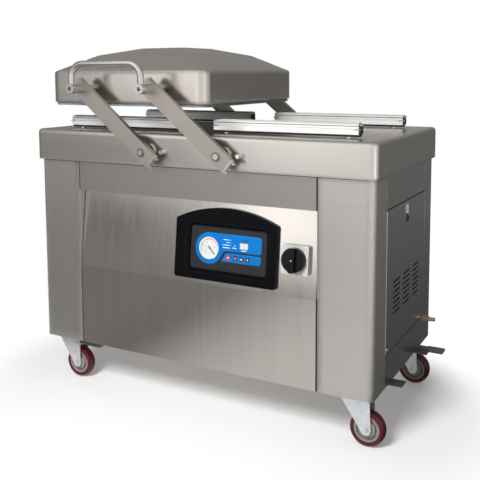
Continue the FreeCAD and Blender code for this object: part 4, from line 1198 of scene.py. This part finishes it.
pale, ground = bare_material("pale_floor")
seen = seen_rays(ground)
matt = add(ground, "ShaderNodeBsdfDiffuse", Color=FLOOR_COLOUR)
lift = add(ground, "ShaderNodeEmission", Strength=maths(ground, "MULTIPLY", seen, FLOOR_LIFT))
near_floor = add(ground, "ShaderNodeAddShader", matt.outputs[0], lift.outputs[0])
far_white = add(ground, "ShaderNodeEmission", Strength=1.0)
spot = add(ground, "ShaderNodeTexCoord").outputs["Object"]
oval = vectors(ground, "MULTIPLY", vectors(ground, "SUBTRACT", spot, SHADOW_MIDDLE), SHADOW_SHAPE)
distance = vectors(ground, "LENGTH", oval)
fade = add(ground, "ShaderNodeMapRange", interpolation_type="SMOOTHSTEP", Value=distance,
           From_Min=SHADOW_REACH[0], From_Max=SHADOW_REACH[1])
fade_seen = maths(ground, "MULTIPLY", fade.outputs["Result"], seen)
whole = add(ground, "ShaderNodeMixShader", fade_seen, near_floor.outputs[0], far_white.outputs[0])
add(ground, "ShaderNodeOutputMaterial", whole.outputs[0])
stage_plane("floor", FLOOR_SPAN, FLOOR_SPAN, 0, pale)
print("floor made")

# %% [markdown]
# ## Lamps
# One large soft lamp stands above and in front, and a weak one behind keeps the rear from going black.
# Mirrors don't see them, because the cards of the next step are what the steel should show.

# %% Lamps
def lamp(name, place, aim, width, height, power):
    data = bpy.data.lights.new(name, "AREA")
    data.shape = "RECTANGLE"
    data.size = width
    data.size_y = height
    data.energy = power
    obj = placed(name, data)
    obj.location = place
    obj.rotation_euler = (Vector(aim) - Vector(place)).to_track_quat("-Z", "Y").to_euler()
    obj.visible_camera = False
    obj.visible_glossy = False


lamp("key", (0.1, -2.6, 2.4), aim=(0.0, -0.1, 0.2), width=1.0, height=1.0, power=104.0)
lamp("rear_fill", (0.2, 2.6, 2.6), aim=(0.1, 0.0, 0.6), width=2.0, height=1.6, power=9.0)
print("lamps hung")

# %% [markdown]
# ## Studio cards
# Metal shows what stands round it. A studio sets pale and dark cards there, and so does this step: planes
# that only mirrors see, each with grey levels along X. The front is cut in bands by height, because the
# upright sheets, the leaning panel and the lid's slope each mirror another band.

# %% Card helper
def card(name, x, y, z, levels):
    material, tree = bare_material(name)
    first, last = levels[0][0], levels[-1][0]
    place = add(tree, "ShaderNodeTexCoord").outputs["Object"]
    x_place = add(tree, "ShaderNodeSeparateXYZ", place).outputs["X"]
    run = add(tree, "ShaderNodeMapRange", Value=x_place, From_Min=first, From_Max=last)
    ramp = add(tree, "ShaderNodeValToRGB", run.outputs["Result"])
    stops = ramp.color_ramp.elements
    while len(stops) < len(levels):
        stops.new(0.5)
    for stop, (along, level) in zip(stops, levels):
        stop.position = (along - first) / (last - first)
        stop.color = (level, level, level, 1)
    glow = add(tree, "ShaderNodeEmission", Color=ramp.outputs["Color"])
    add(tree, "ShaderNodeOutputMaterial", glow.outputs[0])
    obj = stage_plane(name, x, y, z, material)
    obj.visible_camera = False
    obj.visible_diffuse = False
    obj.visible_shadow = False
    obj.visible_transmission = False
    print("card", name, "with", len(levels), "levels")


def even(level):
    return [(-1.0, level), (1.0, level)]


print("an even card has", len(even(1.0)), "levels")

# %% Front cards
CARD_LIFT = 0.012
FRONT_WALL = -2.9
FRONT_SPAN = (-5.0, 2.6)
LOW_TOP = 0.31
MIDDLE_TOP = 0.80
ROOF = 3.4
card("front_floor", (-5.0, 2.4), (FRONT_WALL, -0.42), CARD_LIFT,
     [(-2.6, 0.2), (-1.0, 0.24), (-0.75, 0.25), (-0.45, 0.2), (-0.2, 0.56), (0.05, 0.76), (0.4, 0.8)])
card("front_low", FRONT_SPAN, FRONT_WALL, (CARD_LIFT, LOW_TOP),
     [(-3.0, 0.3), (-2.1, 0.3), (-1.5, 0.16), (-1.3, 0.06), (-0.65, 0.06), (-0.45, 0.85), (0.4, 0.9)])
card("front_middle", FRONT_SPAN, FRONT_WALL, (LOW_TOP, MIDDLE_TOP),
     [(-3.0, 0.4), (-2.6, 0.15), (-2.1, 0.12), (-1.75, 0.3), (-1.4, 0.45), (-1.1, 2.5), (-0.65, 1.8),
      (0.0, 1.0)])
card("front_high", FRONT_SPAN, FRONT_WALL, (MIDDLE_TOP, ROOF),
     [(-3.0, 0.3), (-2.6, 0.42), (-2.3, 1.65), (-2.1, 1.7), (-1.7, 1.65), (-1.2, 1.4), (-0.8, 1.2),
      (0.5, 0.95)])

# %% Rear, roof and side cards
REAR_WALL = 2.9
REAR_SPAN = (-5.0, 5.0)
REAR_TOP = 1.6
CABINET_SIDE = 0.565
CORNER_X = 2.4
CORNER_SPAN = (-1.9, -0.75)
CORNER_MIDDLE = 0.58
card("rear_low", REAR_SPAN, REAR_WALL, (CARD_LIFT, REAR_TOP),
     [(-3.0, 0.14), (-1.3, 0.14), (-0.9, 0.36), (0.0, 0.38), (0.6, 0.22), (1.2, 0.14), (3.0, 0.18)])
card("rear_high", REAR_SPAN, REAR_WALL, (REAR_TOP, ROOF), even(0.3))
card("rear_floor", (-4.0, CABINET_SIDE), (0.6, REAR_WALL), CARD_LIFT, even(0.45))
card("right_floor", (CABINET_SIDE, 4.0), (-0.6, REAR_WALL), CARD_LIFT,
     [(CABINET_SIDE, 0.075), (0.85, 0.08), (1.15, 0.13), (4.0, 0.13)])
card("roof", (-4.0, 4.0), (-1.2, REAR_WALL), ROOF, [(-3.0, 0.37), (3.0, 0.34)])
card("corner_low", CORNER_X, CORNER_SPAN, (0.05, CORNER_MIDDLE), even(2.4))
card("corner_high", CORNER_X, CORNER_SPAN, (CORNER_MIDDLE, 1.9), even(1.1))
card("right_wall", 4.2, (-0.7, REAR_WALL), (CARD_LIFT, ROOF), even(0.65))
card("left_wall", -3.2, (FRONT_WALL, REAR_WALL), (CARD_LIFT, ROOF), even(0.25))
